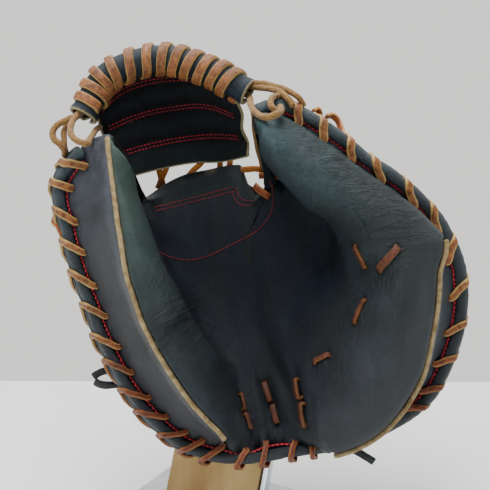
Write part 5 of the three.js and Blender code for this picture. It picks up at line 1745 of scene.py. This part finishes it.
def rounded_box(size, centre, corner, bevel):
    """Points and quads of a box with rounded upright corners and a small bevel on its long edges."""
    half = np.array(size) / 2
    turns = np.radians(np.concatenate([np.linspace(q, q + 90, 7) for q in (0, 90, 180, 270)]))
    signs = np.repeat([(1, 1), (-1, 1), (-1, -1), (1, -1)], 7, axis=0)
    outline = signs * (half[:2] - corner) + np.stack([np.cos(turns), np.sin(turns)], axis=1) * corner
    rings = []
    middle = half[:2] * 0.98
    for within, height in ((middle, 0), (bevel + 0.4, 0), (bevel, 0), (bevel * 0.3, bevel * 0.3), (0, bevel)):
        scale = 1 - within / half[:2]
        rings.append(np.column_stack([outline * scale, np.full(len(outline), -half[2] + height)]))
    rings = rings + [ring * (1, 1, -1) for ring in rings[::-1]]
    points = np.concatenate(rings) + np.array(centre)
    return points, ring_faces(len(rings), len(outline))


def leaning(points, forward):
    """Turns a plate that lies in x and z back by the stand's lean, about its foot."""
    p = np.asarray(points, float)
    y, z = p[..., 1] + forward, p[..., 2]
    c, s = math.cos(-STAND_LEAN), math.sin(-STAND_LEAN)
    return np.stack([p[..., 0], y * c - z * s, y * s + z * c + PLATE_FOOT], axis=-1)


def stand():
    height = (PLATE_TOP - PLATE_FOOT + 1.8) / math.cos(STAND_LEAN)

    def plate(width, thick, forward, low=0.0, high=None, left=0.0, bevel=0.4):
        high = height if high is None else high
        points, faces = rounded_box((width, high - low, thick), (0, 0, 0), 1.6, bevel)
        turned = np.stack([points[:, 0] + left, points[:, 2], points[:, 1] + (high + low) / 2], axis=1)
        return on_stand(leaning(turned, forward)), faces

    points, faces = plate(PLATE_WIDTH - 7, PLATE_THICK - 0.4, -0.2, 5.0, left=-3.0)
    piece = new_piece("stand_panel", points, faces, "brushed", world=True)
    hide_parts("stand_plate")
    parts = [plate(PLATE_WIDTH - 0.4, 3.2, 2.9), plate(3.6, 2.4, -0.2, left=PLATE_WIDTH / 2 - 2),
             plate(PLATE_WIDTH - 6, 2.2, -0.2, 0.2, 4.0, left=-3.0)]
    points, faces = joined(parts)
    piece = new_piece("stand_frame", points, faces, "chrome", world=True)
    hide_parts("stand_back")
    points, faces = rounded_box(BASE_SIZE, (0, STAND_BEHIND, BASE_SIZE[2] / 2), 8, 1.2)
    piece = new_piece("stand_foot", on_stand(points), faces, "chrome", world=True)
    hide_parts("stand_base")


# Stage
def plain(name, colour, roughness):
    material, tree, shader = new_material(name)
    set_shader(tree, shader, Base_Color=(*colour, 1), Roughness=roughness, Specular_IOR_Level=0.3)
    return material


def studio(tree):
    """A pale wall all round, brightest behind, dim on the viewer's side."""
    direction = node(tree, "ShaderNodeTexCoord").outputs["Generated"]
    split = node(tree, "ShaderNodeSeparateXYZ", Vector=direction).outputs
    front_to_back = node(tree, "ShaderNodeMapRange", Value=split[1])
    front_to_back.inputs["From Min"].default_value = -0.5
    front_to_back.inputs["From Max"].default_value = 0.75
    colour = mix_colours(tree, front_to_back.outputs[0], (0.2, 0.225, 0.255), (1.0, 0.985, 0.96))
    background = tree.nodes["Background"]
    tree.links.new(colour, background.inputs["Color"])
    background.inputs["Strength"].default_value = 1.12


TABLE_BACK = 0.262


def table_and_light():
    mesh = bpy.data.meshes.new("table")
    corners = [(-1.6, -1.4, 0.0), (1.6, -1.4, 0.0), (1.6, TABLE_BACK - 0.006, 0.0),
               (-1.6, TABLE_BACK + 0.012, 0.0)]
    mesh.from_pydata(corners, [], [(0, 1, 2, 3)])
    mesh.materials.append(plain("table_top", srgb(248, 250, 248), 0.35))
    table = bpy.data.objects.new("table", mesh)
    bpy.context.scene.collection.objects.link(table)
    world = bpy.data.worlds.new("studio")
    bpy.context.scene.world = world
    world.use_nodes = True
    studio(world.node_tree)
    for name, place, target, size, power, colour in LIGHTS:
        data = bpy.data.lights.new(name, "AREA")
        data.shape = "RECTANGLE"
        data.size, data.size_y = size
        data.energy = power
        data.color = colour
        lamp = bpy.data.objects.new(name, data)
        lamp.location = place
        lamp.rotation_euler = (Vector(target) - Vector(place)).to_track_quat("-Z", "Y").to_euler()
        bpy.context.scene.collection.objects.link(lamp)


LIGHTS = (
    ("ceiling", (-0.1, 0.05, 1.5), (0, 0.05, 0.2), (1.8, 0.7), 38, (1.0, 0.99, 0.97)),
    ("window_left", (-1.3, -0.7, 0.8), (0, 0, 0.2), (0.7, 1.0), 6, (0.86, 0.93, 1.0)),
    ("front_fill", (0.5, -1.6, 0.9), (0, 0, 0.2), (1.2, 1.2), 3, (1.0, 0.98, 0.95)),
)

CAMERA_PLACE = (0.0165, -0.6912, 0.4013)
CAMERA_PITCH = math.radians(75)
CAMERA_LENS = 73.5


def camera():
    data = bpy.data.cameras.new("camera")
    data.lens = CAMERA_LENS
    data.sensor_width = 36
    made = bpy.data.objects.new("camera", data)
    made.location = CAMERA_PLACE
    made.rotation_euler = (CAMERA_PITCH, 0, 0)
    bpy.context.scene.collection.objects.link(made)
    bpy.context.scene.camera = made


camera()
table_and_light()
palm_piece = palm()
# Stops by height for the side panels, lighter towards the top: partly the slate's own tone, partly painted
# light from above
side_panel("thumb_panel", "thumb_side_panel", (THUMB_PANEL[0] - 0.6, THUMB_PANEL[1]),
           [(-150, srgb(40, 43, 48)), (-60, srgb(43, 46, 50)), (20, srgb(54, 58, 64)),
            (90, srgb(70, 73, 83))])
side_panel("finger_panel", "finger_side_panel", FINGER_PANEL,
           [(-150, srgb(46, 52, 60)), (-60, srgb(42, 52, 60)), (40, srgb(54, 66, 72))])
piping("thumb_piping_cord", "thumb_piping", THUMB_PANEL)
piping("finger_piping_cord", "finger_piping", FINGER_PANEL)
rolled_edge("front_roll", "rim_roll_front", "front", (ROLL_START, PAD_END))
rolled_edge("back_roll_thumb", "rim_roll_back_thumb", "back", (ROLL_START, HEEL_GAP[0]))
rolled_edge("back_roll_fingers", "rim_roll_back_fingers", "back", (HEEL_GAP[1], PAD_END))
web_grid, web_normals = web()
web_stitches(web_grid, web_normals)
crown_lace()
for key, wraps in RIM_WRAPS.items():
    rim_lace(f"rim_lacing_{key}", f"rim_lace_{key}", wraps, key == "heel")
for k, (start, end) in enumerate(PALM_STITCHES, 1):
    palm_lace(k, start, end)
rim_stitching()
pocket_seams(palm_piece)
round_laces()
amber_straps()
short_straps()
seams = [back_half("back_leather_thumb", "back_shell_thumb", BACK_SEAM + 1, HEEL_GAP[0] - 1),
         back_half("back_leather_fingers", "back_shell_fingers", HEEL_GAP[1] + 1, BACK_SEAM + 359)]
thread_along("back_stitching", seams + wrist_strap(), 3.4, 2.5, 0.42)
stand()
